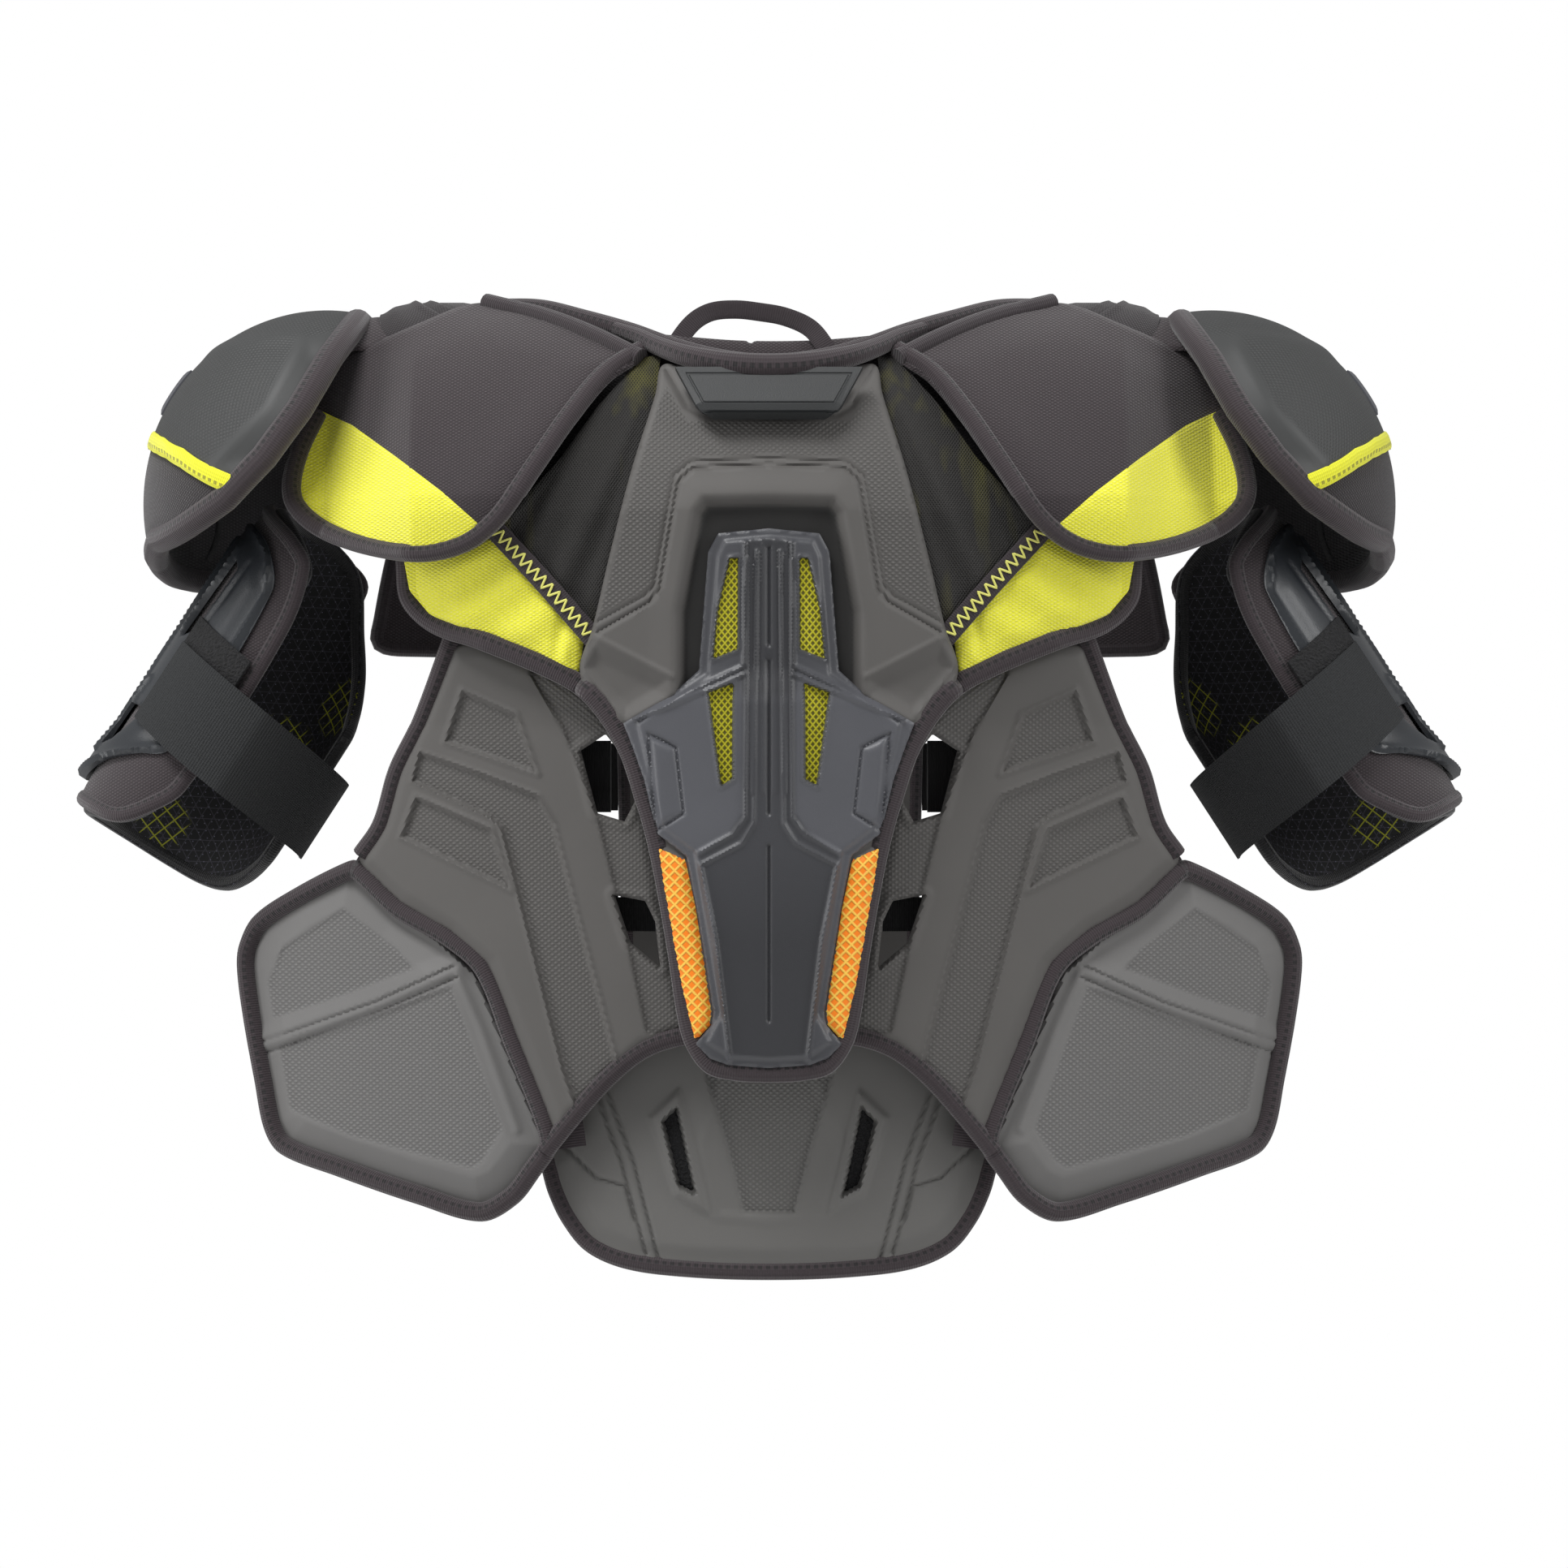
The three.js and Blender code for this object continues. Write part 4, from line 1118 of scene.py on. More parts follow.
def arch_place(angle, share, out):
    x = table(ARCH_OUTER, angle) + share * (table(ARCH_INNER, angle) - table(ARCH_OUTER, angle))
    off = out * (0.6 + 0.4 * np.minimum(1, 3 * share))
    deep = np.where(angle < 90, 100 - 0.0008 * x * x, 85 - 0.0004 * x * x) + off
    a = np.radians(angle)
    return np.stack([x, -deep * np.cos(a), -88 + (110 + off) * np.sin(a)], -1)


angle, share = np.meshgrid(np.linspace(38, 150, 76), np.linspace(0, 1, 40), indexing="ij")
near_edge = np.minimum(np.minimum(share, 1 - share) * 90, np.minimum(angle - 38, 150 - angle) * 1.9)
out = 5.5 + 4.2 * ramp(near_edge, 14.0)
for seam in (0.36, 0.52):
    out += 1.3 * np.exp(-((share - seam) / 0.035) ** 2) * ramp(near_edge, 6.0)
    out -= 0.9 * np.exp(-((share - seam - 0.055) / 0.018) ** 2) * ramp(near_edge, 6.0)
# The arch padding wears the darker brown knit, which is painted shade.
arch = slab("arch_padding", arch_place(angle, share, out), arch_place(angle, share, 0 * out), PAINTED_SHADE_KNIT,
            uv=np.stack([np.radians(angle) * 112, share * 90], -1))
pair(arch, "harness", "mesh_fabric", ("arch",), 0.8)
print("arches", len(arch.data.polygons), "faces")

# %% [markdown]
# The collar is a roll of binding round the neck, thick at the back and thin at the front, over a
# knit facing. A soft pad lies inside it at the back, and one more roll edges the neckline in front.

# %% Collar
COLLAR_FRONT = [(151, -8, 30), (124, -33, 27), (100, -53, 19.5), (74, -71, 10.5), (52, -83, 1.5),
                (26, -91, -6), (0, -93, -9)]
COLLAR_BACK = [(150, 4, 29), (149, 18, 27.5), (137, 38, 23), (114, 58, 15), (86, 72, 7), (50, 80, 0),
               (0, 83, -2)]
COLLAR_REACH = 151
for label, half, wide, high, taper, lean, cloth in (("front", COLLAR_FRONT, 6.6, 5.4, 0.4, -0.75, BINDING),
                                                    ("back", COLLAR_BACK, 8.6, 7.8, 0.42, 0.6, PLAIN_TAPE)):
    line = walk(through_middle(half), 3.0)
    thin = 1 - taper * np.abs(line[:, 0]) / COLLAR_REACH
    up = unit(np.tile([0, lean, 0.66], (len(line), 1)))
    roll = tube("collar_roll_" + label, line, up, wide * thin, high * thin, cloth, sides=16)
    dress(roll, "harness", "binding", "collar_" + label)


def arch_edge(angles, out):
    """Points near the inner edge of the right arch."""
    return [tuple(arch_place(np.float64(a), np.float64(0.94), np.float64(out))) for a in angles]


FACING_FRONT = arch_edge((88, 78, 68, 58, 50, 44, 39), 5.0) + [(0, -121, -16)]
FACING_BACK = arch_edge((96, 104, 112, 120, 127), 3.0) + [(60, 86, -12), (0, 88, -13)]
for label, top_half, low_half in (("front", COLLAR_FRONT, FACING_FRONT), ("back", COLLAR_BACK, FACING_BACK)):
    top, low = walk(through_middle(top_half), 2.0), walk(through_middle(low_half), 2.0)
    place = np.linspace(0, 1, 150)
    top, low = (np.stack([np.interp(place, np.linspace(0, 1, len(p)), p[:, k]) for k in range(3)], 1)
                for p in (top, low))
    down = np.linspace(0, 1, 12)[None, :, None]
    face = top[:, None] * (1 - down) + low[:, None] * down
    out_way = unit(face - np.array([0, 0, -60]))
    face = face + out_way * 3.0 * np.sin(down * math.pi) ** 0.7
    facing_piece = slab("collar_facing_" + label, face, face - out_way * 2.0, BROWN_KNIT)
    dress(facing_piece, "harness", "mesh_fabric")
PAD_LINE = [(-88, 70, 17), (-70, 77, 14), (-42, 85, 10), (-16, 90, 8), (20, 90, 8), (46, 84, 10),
            (70, 77, 14), (88, 70, 17)]
lining_line = walk(PAD_LINE, 1.5)
up = np.tile([0, -0.96, 0.28], (len(lining_line), 1))
notch = 1 - 0.3 * np.exp(-((lining_line[:, 0] + 11) / 1.6) ** 2)
tall = (11.0 - 6.5 * (np.abs(lining_line[:, 0]) / 88) ** 3) * (0.5 + 0.5 * notch)
pad = tube("collar_inner_pad", lining_line, up, tall, 4.6 * notch, BROWN_KNIT, sides=20)
dress(pad, "harness", "mesh_fabric")
NECKLINE = [(82, -72, 12), (70, -84, 7), (58, -98, 0.5), (42, -114, -6), (22, -124.5, -10.5),
            (0, -127, -12)]
line = walk(through_middle(NECKLINE), 3.0)
up = np.tile([0, -0.92, 0.39], (len(line), 1))
thick = 6.6 - 3.0 * (np.abs(line[:, 0]) / 82) ** 2
dress(tube("neckline_roll", line, up, thick, thick, BINDING, sides=16), "harness", "binding")
print("collar rolls")

# %% [markdown]
# The neck plate is a flat rubbery moulding sewn to the top of the sternum pad. It starts as a cube
# of its size; the lower corners are moved in, its edges are bevelled, and the front is inset for
# the sewn groove.

# %% Neck plate
bpy.ops.mesh.primitive_cube_add(size=1, location=(0, 0, 0))
plate = bpy.context.object
plate.name = "neck_moulding"
plate.scale = (0.098, 0.028, 0.004)
bpy.ops.object.transform_apply(location=False, rotation=False, scale=True)
bpy.ops.object.mode_set(mode="EDIT")
bpy.ops.mesh.select_all(action="DESELECT")
bpy.ops.object.mode_set(mode="OBJECT")
for vertex in plate.data.vertices:
    vertex.select = vertex.co.y < 0
bpy.ops.object.mode_set(mode="EDIT")
bpy.ops.transform.resize(value=(0.72, 1, 1))
bpy.ops.mesh.select_all(action="DESELECT")
bpy.ops.object.mode_set(mode="OBJECT")
for edge in plate.data.edges:
    a, b = (plate.data.vertices[v].co for v in edge.vertices)
    edge.select = abs(a.z - b.z) > 0.002 and a.y < 0
bpy.ops.object.mode_set(mode="EDIT")
bpy.ops.mesh.select_mode(type="EDGE")
bpy.ops.mesh.bevel(offset=0.006, segments=3, affect="EDGES")
bpy.ops.mesh.select_all(action="DESELECT")
bpy.ops.object.mode_set(mode="OBJECT")
for face in plate.data.polygons:
    face.select = face.normal.z > 0.9
bpy.ops.object.mode_set(mode="EDIT")
bpy.ops.mesh.select_mode(type="FACE")
bpy.ops.mesh.inset(thickness=0.0008)
bpy.ops.mesh.inset(thickness=0.0024)
bpy.ops.mesh.inset(thickness=0.0005)
bpy.ops.transform.translate(value=(0, 0, -0.0006))
bpy.ops.mesh.inset(thickness=0.0006)
bpy.ops.mesh.inset(thickness=0.0005)
bpy.ops.transform.translate(value=(0, 0, 0.0006))
bpy.ops.object.mode_set(mode="OBJECT")
bpy.ops.transform.rotate(value=math.radians(-66), orient_axis="X", center_override=(0, 0, 0))
bpy.ops.transform.translate(value=(0, -0.1335, -0.0262))
bpy.ops.object.transform_apply(location=True, rotation=True, scale=True)
plate.data.materials.append(PLATE_RUBBER)
plate_low, plate_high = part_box("neck_plate")
print("neck plate", [round(v, 4) for v in plate.data.vertices[0].co], plate_low, plate_high)
dress(plate, "harness", "foam", "neck_plate")

# %% [markdown]
# The hang loop is flat webbing bent in an arch behind the collar. The torso straps are wider
# webbing, run from the back round each side to the chest.

# %% Hang loop and torso straps
WEBBING_HALF = 0.9


def ribbon(name, middle, across, half, thick, material):
    """Flat webbing along a middle line, with its half width laid along `across`."""
    line, across = np.asarray(middle, float), np.asarray(across, float)
    ahead = np.gradient(line, axis=0)
    up = unit(np.cross(across, ahead))
    spread = np.linspace(-1, 1, 9)
    face = line[:, None] + across[:, None] * spread[None, :, None] * half
    run = run_along(line)
    uv = np.stack(np.broadcast_arrays(run[:, None], spread[None] * half), -1)
    edge = np.broadcast_to(spread * 0.5 + 0.5, uv.shape[:2]).copy()
    lift = up[:, None] * thick * (1 - 0.5 * np.abs(spread[None, :, None]) ** 6)
    return slab(name, face + lift, face - lift, material, {"edge": edge, "front": edge * 0 + 1}, uv, 50)


HANG = [(-60, 79, -1), (-58, 80, 5), (-53.8, 82, 13.7), (-43.5, 88, 28), (-33, 92, 34.5), (-19, 94, 36),
        (-5, 94, 34.5), (8.4, 93, 31.9), (22, 89, 25.5), (30.2, 83, 15.5), (35, 80, 5), (37, 79, -1)]
line = walk(HANG, 2.0)
ahead = np.gradient(line, axis=0)
side = unit(np.cross(ahead, np.tile([0, 1, 0], (len(line), 1))))
loop = ribbon("hang_webbing", line, side, 5.2, WEBBING_HALF, PLAIN_TAPE)
dress(loop, "harness", "elastic", "hang_loop")

STRAP_RUN = [(86, 108), (120, 96), (152, 70), (172, 34), (178, 0), (170, -32), (148, -58), (118, -78),
             (84, -88)]
line = walk([(x, y, -227) for x, y in STRAP_RUN], 4.0)
strap = ribbon("torso_webbing", line, np.tile([0, 0, 1], (len(line), 1)), 19, WEBBING_HALF, BLACK_TAPE)
for side, piece in (("right", strap), ("left", other_side(strap, "torso_webbing_left"))):
    piece.name = "torso_webbing_" + side
    dress(piece, "", "elastic", "torso_strap_" + side, ride=False)
    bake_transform(piece)
print("straps")

# %% [markdown]
# A shoulder cap is a dome of pressed foam over a knit skirt. Its foam face has a soft ridge and a
# smooth facet by the front rim. A slanted yellow tape covers where foam and knit meet, and a plain
# one does behind. The dome is a grid of turn round it and share of the way from its pole to its rim.


# %% Caps
def cap_normals(points):
    return unit((points - CAP_CENTRE) / CAP_SIZE ** 2)


def slant(points):
    """Height above the slanted plane, where foam and knit meet at FOAM_EDGE."""
    return points[:, 2] - 0.57 * points[:, 0]


FOAM_EDGE = -234
turns, rings = 145, 46
turn, share = np.meshgrid(np.linspace(0, 360, turns), np.linspace(0.012, 1, rings), indexing="ij")
spots = np.stack([turn.ravel(), share.ravel()], 1)
bare = cap_place(spots, 0)
flat = np.stack([bare[:, 0], bare[:, 2]], 1)
ahead = bare[:, 1] < 12
low_front = away(flat, [(251, 2), (267, -32), (293, -59), (300, -64)])
FACET = [(251, 6), (267, -32), (297, -62), (270, -75), (230, -40), (225, 10)]
top_crease = groove(flat, [(312, 4), (285, 6), (252, 9)], 7.0) * ahead
swell = 1.0 * top_crease - 3.2 * ramp(depth_in(flat, FACET), 16.0) * ahead
swell += 0.9 * (1 - ramp(low_front, 5.0)) * ahead
foam_part = slant(bare) > FOAM_EDGE
swell = np.where(foam_part, swell + 0.4, -0.6)
rim_near = 1 - ramp(1 - spots[:, 1], 0.05)
outer = cap_place(spots, -swell + 1.6 * rim_near)
zone = ramp(-depth_in(flat, FACET) - 1, 3.0) * (1 - 0.55 * top_crease)
zone = zone * foam_part * ramp(1.0 - spots[:, 1], 0.08)
grid = (turns, rings)
# The grid closes on itself, so its last row of points is its first.
keep = turns - 1
at = np.arange(keep * rings).reshape(keep, rings)
faces, knit_face = [], []
for i in range(keep):
    m = (i + 1) % keep
    faces += [(at[i, j], at[i, j + 1], at[m, j + 1], at[m, j]) for j in range(rings - 1)]
    knit_face += [not foam_part.reshape(grid)[i, j] for j in range(rings - 1)]
faces.append(tuple(at[::-1, 0]))
knit_face.append(False)
count = keep * rings
lining = cap_place(spots, 10.6).reshape(*grid, 3)[:keep].reshape(-1, 3)
faces += [tuple(v + count for v in reversed(face)) for face in faces]
lining_from = len(knit_face)
rim = at[:, -1]
faces += [(rim[i], count + rim[i], count + rim[(i + 1) % keep], rim[(i + 1) % keep]) for i in range(keep)]
points = np.vstack([outer.reshape(*grid, 3)[:keep].reshape(-1, 3), lining])
# The pattern is laid out as if the dome were pressed flat from its pole.
MEAN_RADIUS = 103
from_pole = MEAN_RADIUS * np.radians(spots[:, 1] * table(CAP_RIM, spots[:, 0] % 360))
way = np.radians(spots[:, 0])
pressed = np.stack([from_pole * np.cos(way), from_pole * np.sin(way)], 1)
pressed = np.tile(pressed.reshape(*grid, 2)[:keep].reshape(-1, 2), (2, 1))
marks = {"zone": np.concatenate([zone.reshape(grid)[:keep].ravel(), np.zeros(count)])}
cap = thing("cap_dome", points, [tuple(int(v) for v in f) for f in faces], CAP_FOAM, marks, pressed, 50)
# The knit skirt wears the darker brown knit, which is painted shade.
cap.data.materials.append(PAINTED_SHADE_KNIT)
cap.data.materials.append(DARK_KNIT)
for k, face in enumerate(cap.data.polygons):
    if k >= lining_from:
        face.material_index = 2
    elif knit_face[k]:
        face.material_index = 1
face_out()
pair(cap, "cap_body", "cap_foam", ("cap",), 1.0)

rim_turn = np.linspace(0, 360, 181)[:-1]
rim_line, further_in = (laid(cap_place, rim_turn, np.full(180, share), 4.2) for share in (1.0, 0.93))
inner = unit(further_in - rim_line)
rim = tube("cap_binding", rim_line + inner * 3.2, cap_normals(rim_line), 7.4, 6.9, BINDING,
           closed=True, sides=16)
pair(rim, "cap_body", "binding")

share_try = np.linspace(0.1, 0.99, 300)
seam_line = []
for t in np.arange(222.0, 340.0, 2.0):
    places = cap_place(np.stack([np.full(300, t), share_try], 1), -0.6)
    under = slant(places) < FOAM_EDGE
    if under.any():
        seam_line.append(places[np.argmax(under)])
seam_line = np.array(seam_line)
seam = tube("cap_seam", seam_line, cap_normals(seam_line), 3.6, 1.5, PLAIN_TAPE)
pair(seam, "cap_body", "binding")

STRIP_TOP = [(101, 0.955), (107, 0.75), (110, 0.632), (120, 0.468), (130, 0.386), (140, 0.34),
             (150, 0.318), (160, 0.3), (180, 0.272), (200, 0.256), (220, 0.272), (230, 0.308)]
STRIP_LOW = [(107, 0.985), (112.5, 0.81), (116, 0.71), (122, 0.6), (130, 0.52), (140, 0.46), (150, 0.428),
             (160, 0.402), (180, 0.366), (200, 0.344), (220, 0.368), (230, 0.416)]
points_in = len(STRIP_TOP)
step = np.linspace(0, points_in - 1, 90)
sides = [np.stack([np.interp(step, range(points_in), [p[k] for p in edge]) for k in (0, 1)], 1)
         for edge in (STRIP_TOP, STRIP_LOW)]
cross = np.broadcast_to(np.linspace(0, 1, 9), (90, 9)).copy()
both = sides[0][:, None] + cross[..., None] * (sides[1] - sides[0])[:, None]
turn, share = both[..., 0], both[..., 1]
raised = laid(cap_place, turn, share, -2.2 + 1.2 * np.abs(cross * 2 - 1) ** 4)
uv = np.stack([np.broadcast_to(run_along(raised[:, 4])[:, None], cross.shape), cross * 10], -1)
strip = slab("cap_yellow_strip", raised, laid(cap_place, turn, share, 0.8), YELLOW_TAPE,
             {"edge": cross, "front": cross * 0 + 1}, uv)
pair(strip, "cap_body", "yellow_fabric", ("cap_strip",))

# %% [markdown]
# A blank badge sits on the outer side of each cap: a thin bevelled plate, bent to the dome by
# pushing each of its corners onto it.

# %% Cap badges
u, v = np.meshgrid(np.linspace(-1, 1, 14), np.linspace(-1, 1, 14), indexing="ij")
centre = np.array([328.0, 0.0, -14.0])
out_way = cap_normals(centre[None])[0]
sideways = np.array([0.0, 1.0, 0.0])
up_way = np.cross(out_way, sideways)
plane = centre + u[..., None] * 17 * sideways + v[..., None] * 14 * up_way * (1 - 0.12 * u[..., None])
onto = unit((plane - CAP_CENTRE) / CAP_SIZE)
from_middle = np.maximum(np.abs(u), np.abs(v))
lift = 2.6 * (1 - from_middle ** 8 * 0.5)
face = onto * (CAP_SIZE + lift[..., None]) + CAP_CENTRE
back_face = onto * (CAP_SIZE - 0.5) + CAP_CENTRE
badge = slab("cap_badge", face, back_face, SHIELD_PLASTIC, {"tone": ramp(0.8 - from_middle, 0.1)})
pair(badge, "cap_body", "shield_plastic")
print("caps", len(cap.data.polygons), "faces")

# %% [markdown]
# The arm guard wraps the upper arm in three layers: a black lining printed with fine lines and
# yellow squares, a brown padded layer, and a dark plastic shell. They are laid out flat as
# millimetres round the sleeve by millimetres down it, and wrapped by the same panel tool. A wide
# elastic strap crosses the front, over a patch of hook pile.


# %% Arm guards
def sleeve(radius):
    def lay(spots, far):
        flat = np.stack([np.degrees(spots[:, 0] / radius), spots[:, 1]], 1)
        return arm_place(flat, radius + far)
    return lay


def round_arm(rows, radius):
    """A flat outline from rows of (turn, top, bottom)."""
    mm = [(math.radians(turn) * radius, top, low) for turn, top, low in rows]
    return [(x, top) for x, top, low in mm] + [(x, low) for x, top, low in reversed(mm)]


print_cloth = Finish("printed_black_lining", srgb(20, 20, 22), 0.8)


def printed_lines(pitch, turned, thin):
    """Thin lines on the flat cloth, pitch millimetres apart."""
    return print_cloth.waves(1000 / pitch, (0, 0, math.radians(turned)), "UV") > thin


first, second, third = (printed_lines(6.0, turned, 0.985) for turned in (0, 60, 120))
fine = first.math("MAXIMUM", second).math("MAXIMUM", third)
dots = printed_lines(4.2, 45, 0.96) * printed_lines(4.2, 135, 0.96)
squares = printed_lines(7.0, 20, 0.975).math("MAXIMUM", printed_lines(7.0, 110, 0.975))
base = print_cloth.mix(fine * 0.22, srgb(16, 16, 18), srgb(110, 108, 122))
base = print_cloth.mix(dots * 0.6, base, srgb(130, 130, 150))
print_cloth.color(print_cloth.mix(squares * print_cloth.mask("zone"), base, srgb(150, 152, 30)))
PRINTED = print_cloth.material

LINER_RADIUS, MID_RADIUS, SHELL_RADIUS, STRAP_RADIUS = 48, 54, 59, 62
LINER_ROWS = [[-175, 72, 146], [-160, 60, 164], [-140, 42, 178], [-118, 22, 184], [-91, -6, 186],
              [-60, -14, 186], [-30, -14, 185], [0, -14, 183], [30, -12, 180], [60, -4, 172],
              [76, 10, 150]]
MID_ROWS = [[-100, 0, 176], [-60, -10, 180], [0, -12, 180], [40, -8, 178], [60, -4, 174], [74, 4, 160],
            [84, 40, 140]]
SHELL_ROWS = [[-58, 20, 160], [-30, 6, 165], [0, 2, 168], [30, 2, 150], [50, 8, 138], [66, 26, 126]]


def flat_uv(made, radius):
    """UV from the flat layout, so that a print follows the cloth. Gives the flat layout back."""
    mesh = made.data
    place = np.empty(len(mesh.vertices) * 3)
    mesh.vertices.foreach_get("co", place)
    p = place.reshape(-1, 3) / MM
    x, z = ARM_X - np.abs(p[:, 0]), p[:, 2] - ARM_Z
    down = -(x * math.sin(ARM_TILT) + z * math.cos(ARM_TILT))
    u = x * math.cos(ARM_TILT) - z * math.sin(ARM_TILT)
    arc = np.arctan2(-p[:, 1], ARM_MIDDLE - u) * radius
    flat = np.stack([arc, down], 1)
    layer = mesh.uv_layers.new(name="UVMap")
    order = np.empty(len(mesh.loops), int)
    mesh.loops.foreach_get("vertex_index", order)
    layer.data.foreach_set("uv", (flat[order] * MM).ravel())
    return flat


liner_outline = round_arm(LINER_ROWS, LINER_RADIUS)


def liner_squares(spots):
    spot_list = [((-118, 60), 15), ((-95, 105), 22), ((-120, 118), 12), ((20, 165), 14), ((-60, 168), 12)]
    return np.max([1 - ramp(np.linalg.norm(spots - np.array(c), axis=1) - r, 4.0) for c, r in spot_list], 0)


liner = panel("arm_lining", liner_outline, sleeve(LINER_RADIUS), 2.8, 2.8, PRINTED, 2.4, 1.0)
liner.data.attributes["zone"].data.foreach_set("value", liner_squares(flat_uv(liner, LINER_RADIUS)))
pair(liner, "arm_body", "liner", ("arm_liner",), 0.7)
edge = edging("arm_liner_binding", liner_outline, sleeve(LINER_RADIUS), 0.0, 4.6, 3.7, BLACK_TAPE,
              closed=True, step=3.0, shift=3.6)
pair(edge, "arm_body", "binding")

mid_outline = round_arm(MID_ROWS, MID_RADIUS)
mid = panel("arm_padding", mid_outline, sleeve(MID_RADIUS),
            lambda s: 2.0 + 1.0 * ramp(depth_in(s, mid_outline), 16.0), 2.2, BROWN_KNIT, 2.6, 2.0)
pair(mid, "arm_body", "mesh_fabric", ("arm_mid",), 0.8)
edge = edging("arm_mid_binding", mid_outline, sleeve(MID_RADIUS), 0.3, 4.4, 3.4, closed=True, step=3.0,
              shift=3.4)
pair(edge, "arm_body", "binding")

shell_outline = round_arm(SHELL_ROWS, SHELL_RADIUS)
SHELL_SLOT_A = [(30, 22), (37, 26), (34, 66), (24, 72)]
SHELL_SLOT_B = [(16, 118), (36, 116), (22, 140), (10, 146)]


def shell_relief(spots):
    inner = depth_in(spots, shell_outline)
    high = 0.6 + table([[130, 0], [168, 5]], spots[:, 1])
    high += 1.3 * (1 - ramp(np.abs(inner - 2.0), 2.0)) + 0.8 * ramp(inner - 6, 8.0)
    for line in ([(26, 16), (22, 70)], [(20, 100), (8, 150)], [(8, 12), (4, 150)]):
        high += 2.2 * groove(spots, line, 2.2)
    high -= 1.4 * groove(spots, [(44, 20), (40, 70)], 3.0)
    return high


shell = panel("arm_plastic", shell_outline, sleeve(SHELL_RADIUS), shell_relief, 0, SHELL_PLASTIC, 2.0, 1.2,
              holes=(SHELL_SLOT_A, SHELL_SLOT_B))
pair(shell, "arm_body", "shell_plastic", ("arm_shell",))

STRAP_WIDTH = 49
turn, cross = np.meshgrid(np.linspace(36, 184, 70), np.linspace(0, 1, 13), indexing="ij")
j = (turn - 44) / 136
down = 75 + 17 * j + STRAP_WIDTH * cross
down += 1.2 * np.sin(j * 5.0) * (cross - 0.5)
bulge = 0.8 * np.sin(np.clip(j, 0, 1) * math.pi)
top, low = (laid(arm_place, turn, down, radius + bulge) for radius in (STRAP_RADIUS + 1.6, STRAP_RADIUS))
uv = np.stack([np.radians(turn) * STRAP_RADIUS, cross * STRAP_WIDTH], -1)
elastic = Finish("black_elastic", srgb(24, 25, 27), 0.85)
ribs = elastic.waves(1000 / 1.5, source="UV")
picks = elastic.waves(1000 / 1.1, source="UV", axis="Y")
coarse = elastic.node("TexNoise", Vector=elastic.place(), Scale=1100.0, Detail=2.0)
elastic.bump(ribs * 0.5 + picks * 0.3 + coarse * 0.6 * elastic.mask("zone"), 0.8, 0.0006)
tone = elastic.mix(ribs * 0.4 + picks * 0.2, srgb(14, 15, 16), srgb(31, 33, 35))
elastic.color(elastic.mix(coarse * elastic.mask("zone") * 0.5, tone, srgb(66, 68, 70)))
strap = slab("arm_elastic", top, low, elastic.material, {"zone": 1 - ramp(turn - 96, 6.0)}, uv)
pair(strap, "strap_body", "elastic", ("arm_strap",))

turn, down = np.meshgrid(np.linspace(34, 78, 22), np.linspace(58, 84, 12), indexing="ij")
down = down + (turn - 34) * 0.12
patch = slab("arm_hook_patch", laid(arm_place, turn, down, 61.6), laid(arm_place, turn, down, 58), BLACK_HOOK)
pair(patch, "arm_body", "elastic")
print("arm guards", len(liner.data.polygons), len(mid.data.polygons), len(shell.data.polygons), "faces")

# %% [markdown]
# Behind, a padded back panel hangs from the collar, bound at its lower hem, and a moulded spine
# plate continues below it. The chest has a soft black lining.

# %% Back panel, spine plate and chest lining
BACK = [(0, -20), (128, -20), (170, -32), (198, -60), (210, -100), (218, -140), (220, -154), (0, -155)]


def back_relief(spots):
    m = mirrored(spots)
    high = 20.5 + 2.8 * ramp(depth_in(m, [(-90, -10), *BACK[1:-1], (-90, -155)]), 18.0)
    for line in ([(60, -24), (60, -150)], [(130, -28), (140, -150)]):
        high -= 2.4 * groove(m, line, 5.0)
    return high


back_panel = panel("back_padding", whole(BACK), rear, back_relief, -12.5, BROWN_KNIT, 3.2, 3.0, rounded=False)
face_out()
dress(back_panel, "back_body", "mesh_fabric", "back_panel", fill=0.9)
BACK_HEM = [(128, -21), (170, -33), (198, -60), (210, -100), (218, -140), (219, -152), (205, -155),
            (0, -156)]
hem = edging("back_binding", through_middle(BACK_HEM), rear, 17.5, 4.6, 6.0, PLAIN_TAPE, step=3.5)
dress(hem, "back_body", "binding")

SPINE = [(0, -159), (82, -159), (81, -200), (79, -280), (77, -345), (66, -366), (50, -371), (0, -371)]
SPINE_FIELD = [(30, -175), (72, -172), (70, -350), (32, -352)]


def spine_relief(spots):
    m = mirrored(spots)
    high = 22.0 + 2.4 * ramp(depth_in(m, [(-90, -150), *SPINE[1:-1], (-90, -372)]) - 4, 10.0)
    for z in (-200, -245, -290, -330):
        high -= 2.2 * groove(m, [(-9, z), (52, z + 9), (84, z + 6)], 3.0)
    return high + 1.2 * groove(m, [(-9, -165), (22, -172), (24, -360)], 5.0)


spine = panel("spine_plate", whole(SPINE), rear, spine_relief, -12.5, FOAM, 2.6, 2.5, rounded=False,
              zone=lambda s: ramp(depth_in(mirrored(s), SPINE_FIELD), 3.0))
face_out()
dress(spine, "back_body", "foam", "spine_pad", fill=1.0)
SPINE_HEM = [(84, -158), (82, -200), (80, -280), (77, -348), (66, -369), (50, -374), (0, -374)]
hem = edging("spine_binding", through_middle(SPINE_HEM), rear, 18.0, 4.6, 6.2, step=3.5)
dress(hem, "back_body", "binding")

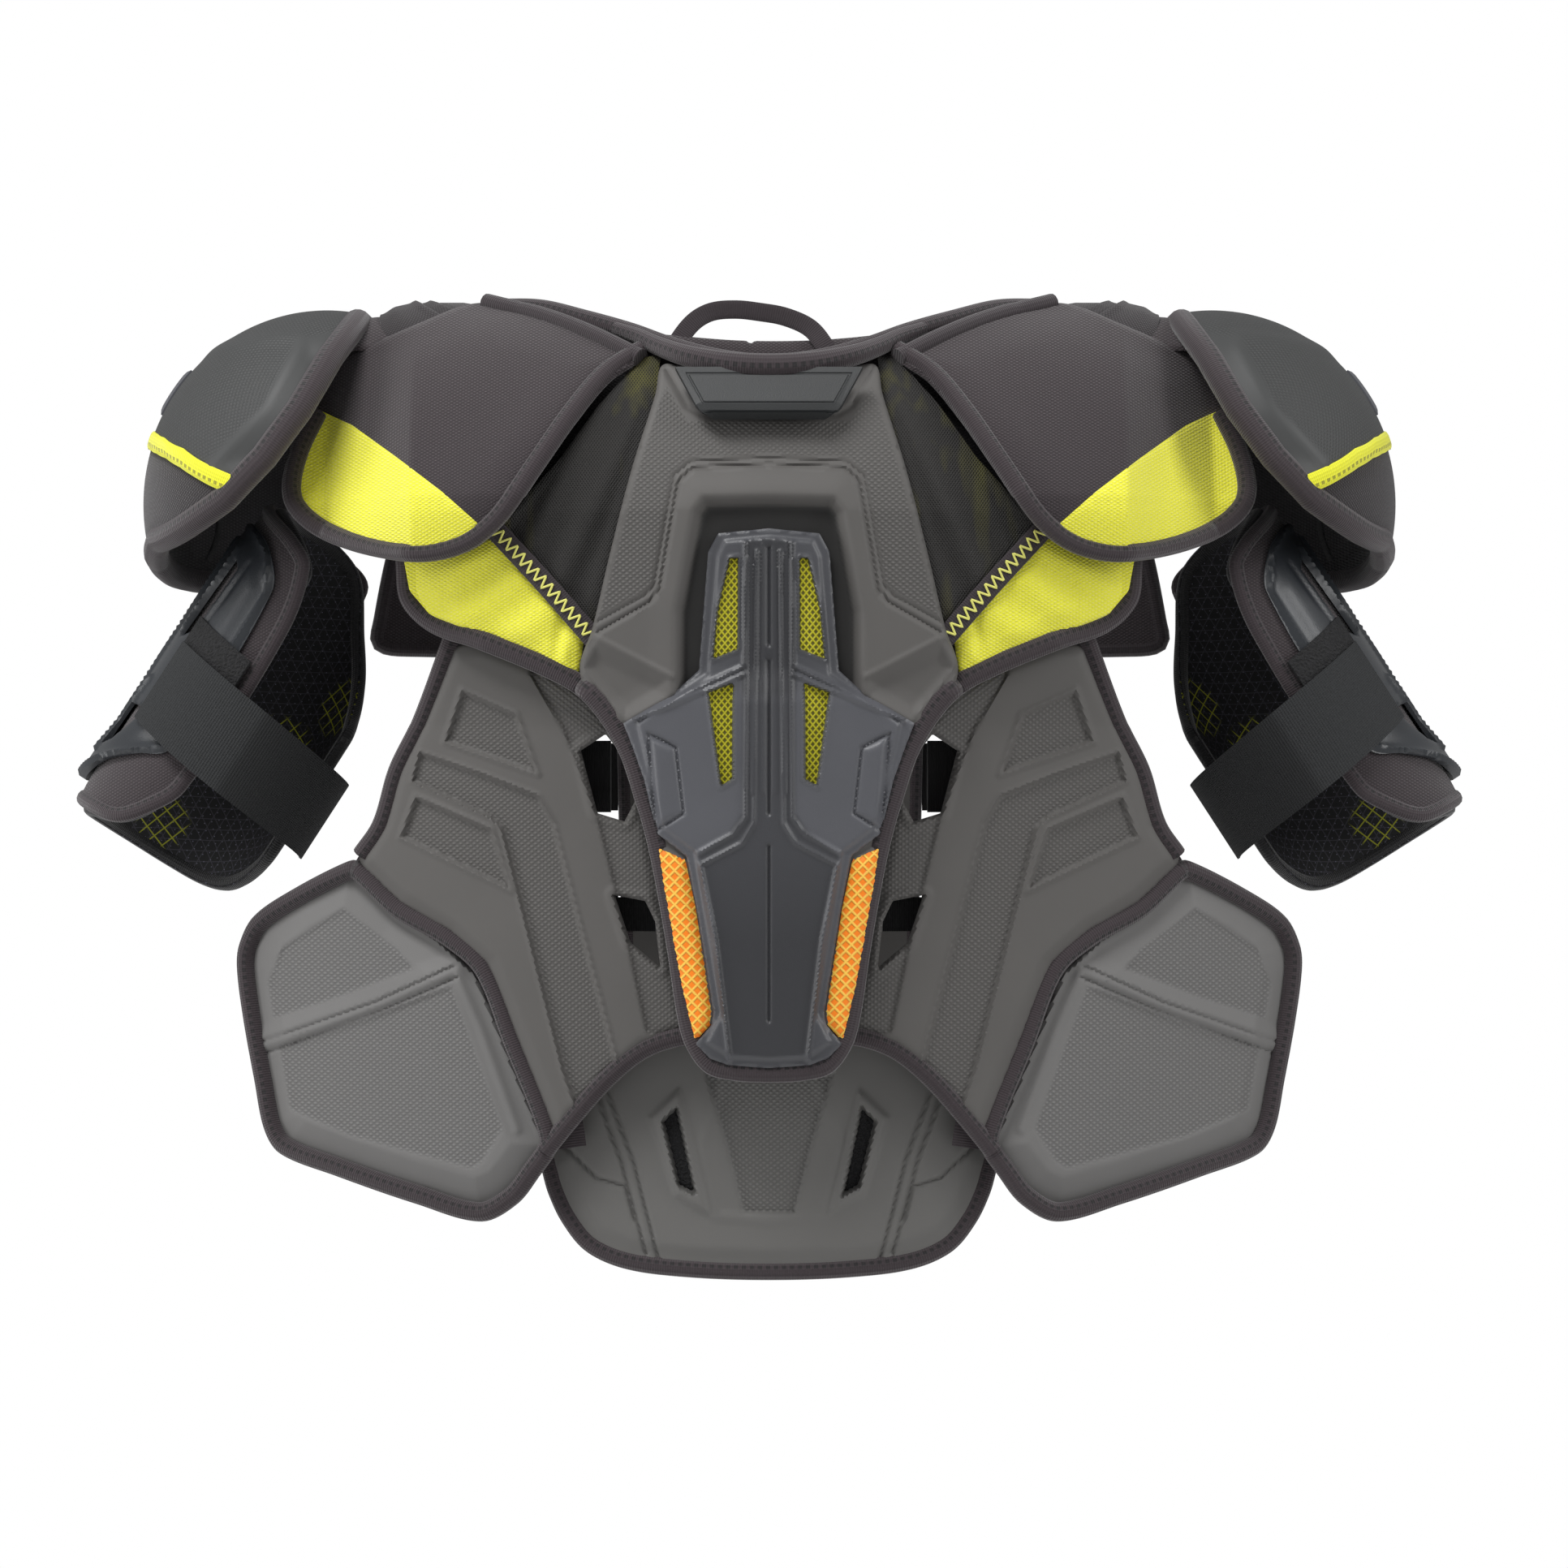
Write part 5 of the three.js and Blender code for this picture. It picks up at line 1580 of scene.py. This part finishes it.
LINING = [(0, -24), (62, -23), (76, -10), (130, -10), (148, -24), (184, -50), (188, -88), (184, -120),
          (166, -160), (108, -180), (55, -206), (55, -285), (51, -349), (0, -349)]
lining = panel("chest_lining", whole(LINING), chest, 7.2, -4.4, DARK_KNIT, 4.0, 1.5, rounded=False)
dress(lining, "harness", "liner", "front_liner", fill=0.5)
print("back and lining")

# %% [markdown]
# Cloth joins the moving parts: a fabric bridge from each arch into its cap, a strip under the seam
# of each rib wing, a tab that carries the arm guard, and a lower torso strap.

# %% Joining cloth
angle, across = np.meshgrid(np.linspace(52, 128, 34), np.linspace(0, 1, 14), indexing="ij")
near = arch_place(angle, 0 * angle + 0.10, 0 * angle + 3.0)
far_side = laid(cap_place, (angle - 90) * -0.9, 0 * angle + 0.8, 13.0)
bridge = near + across[..., None] * (far_side - near)
bridge[..., 2] += 3.0 * np.sin(across * math.pi)
bridge = slab("cap_bridge", bridge, bridge - np.array([0, 0, 2.2]), BROWN_KNIT)
for side, sign, piece in (("right", 1, bridge), ("left", -1, other_side(bridge, "cap_bridge_left"))):
    piece.name = "cap_bridge_" + side
    dress(piece, "", "mesh_fabric", ride=False)
    "cap_body_" + side
    sign * 0.206
    sign * 0.245
    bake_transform(piece)

SEAM = [(223, -276), (195.4, -295.9), (167, -311.9), (144.8, -328.9), (128.1, -369.4), (111.4, -410.3),
        (109, -424)]
spots = walk(SEAM, 3.0)
far = np.full(len(spots), 11.0)
seam = tube("rib_seam_strip", chest(spots, far), facing(chest, spots, far), 13.0, 2.2, PLAIN_TAPE)
for side, sign, piece in (("right", 1, seam), ("left", -1, other_side(seam, "rib_seam_strip_left"))):
    piece.name = "rib_seam_strip_" + side
    dress(piece, "", "binding", ride=False)
    "rib_body_" + side
    sign * 0.156
    sign * 0.176
    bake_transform(piece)

tab_line = walk([(309, 22, -108), (305, 22, -99), (303, 22, -90), (303, 22, -80), (305, 22, -66)], 2.0)
tab = ribbon("arm_tab", tab_line, np.tile([0, 1, 0], (len(tab_line), 1)), 12, WEBBING_HALF, BLACK_HOOK)
for side, sign, piece in (("right", 1, tab), ("left", -1, other_side(tab, "arm_tab_left"))):
    piece.name = "arm_tab_" + side
    dress(piece, "", "elastic", ride=False)
    "arm_body_" + side
    "cap_body_" + side
    sign * 0.305
    sign * 0.303
    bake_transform(piece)

line = walk([(x, y, -300) for x, y in STRAP_RUN[:-1]] + [(60, -96, -300)], 4.0)
strap = ribbon("lower_torso_strap", line, np.tile([0, 0, 1], (len(line), 1)), 9, WEBBING_HALF,
               BLACK_TAPE)
for side, piece in (("right", strap), ("left", other_side(strap, "lower_torso_strap_left"))):
    piece.name = "lower_torso_strap_" + side
    dress(piece, "", "elastic", ride=False)
    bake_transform(piece)
print("joining cloth")
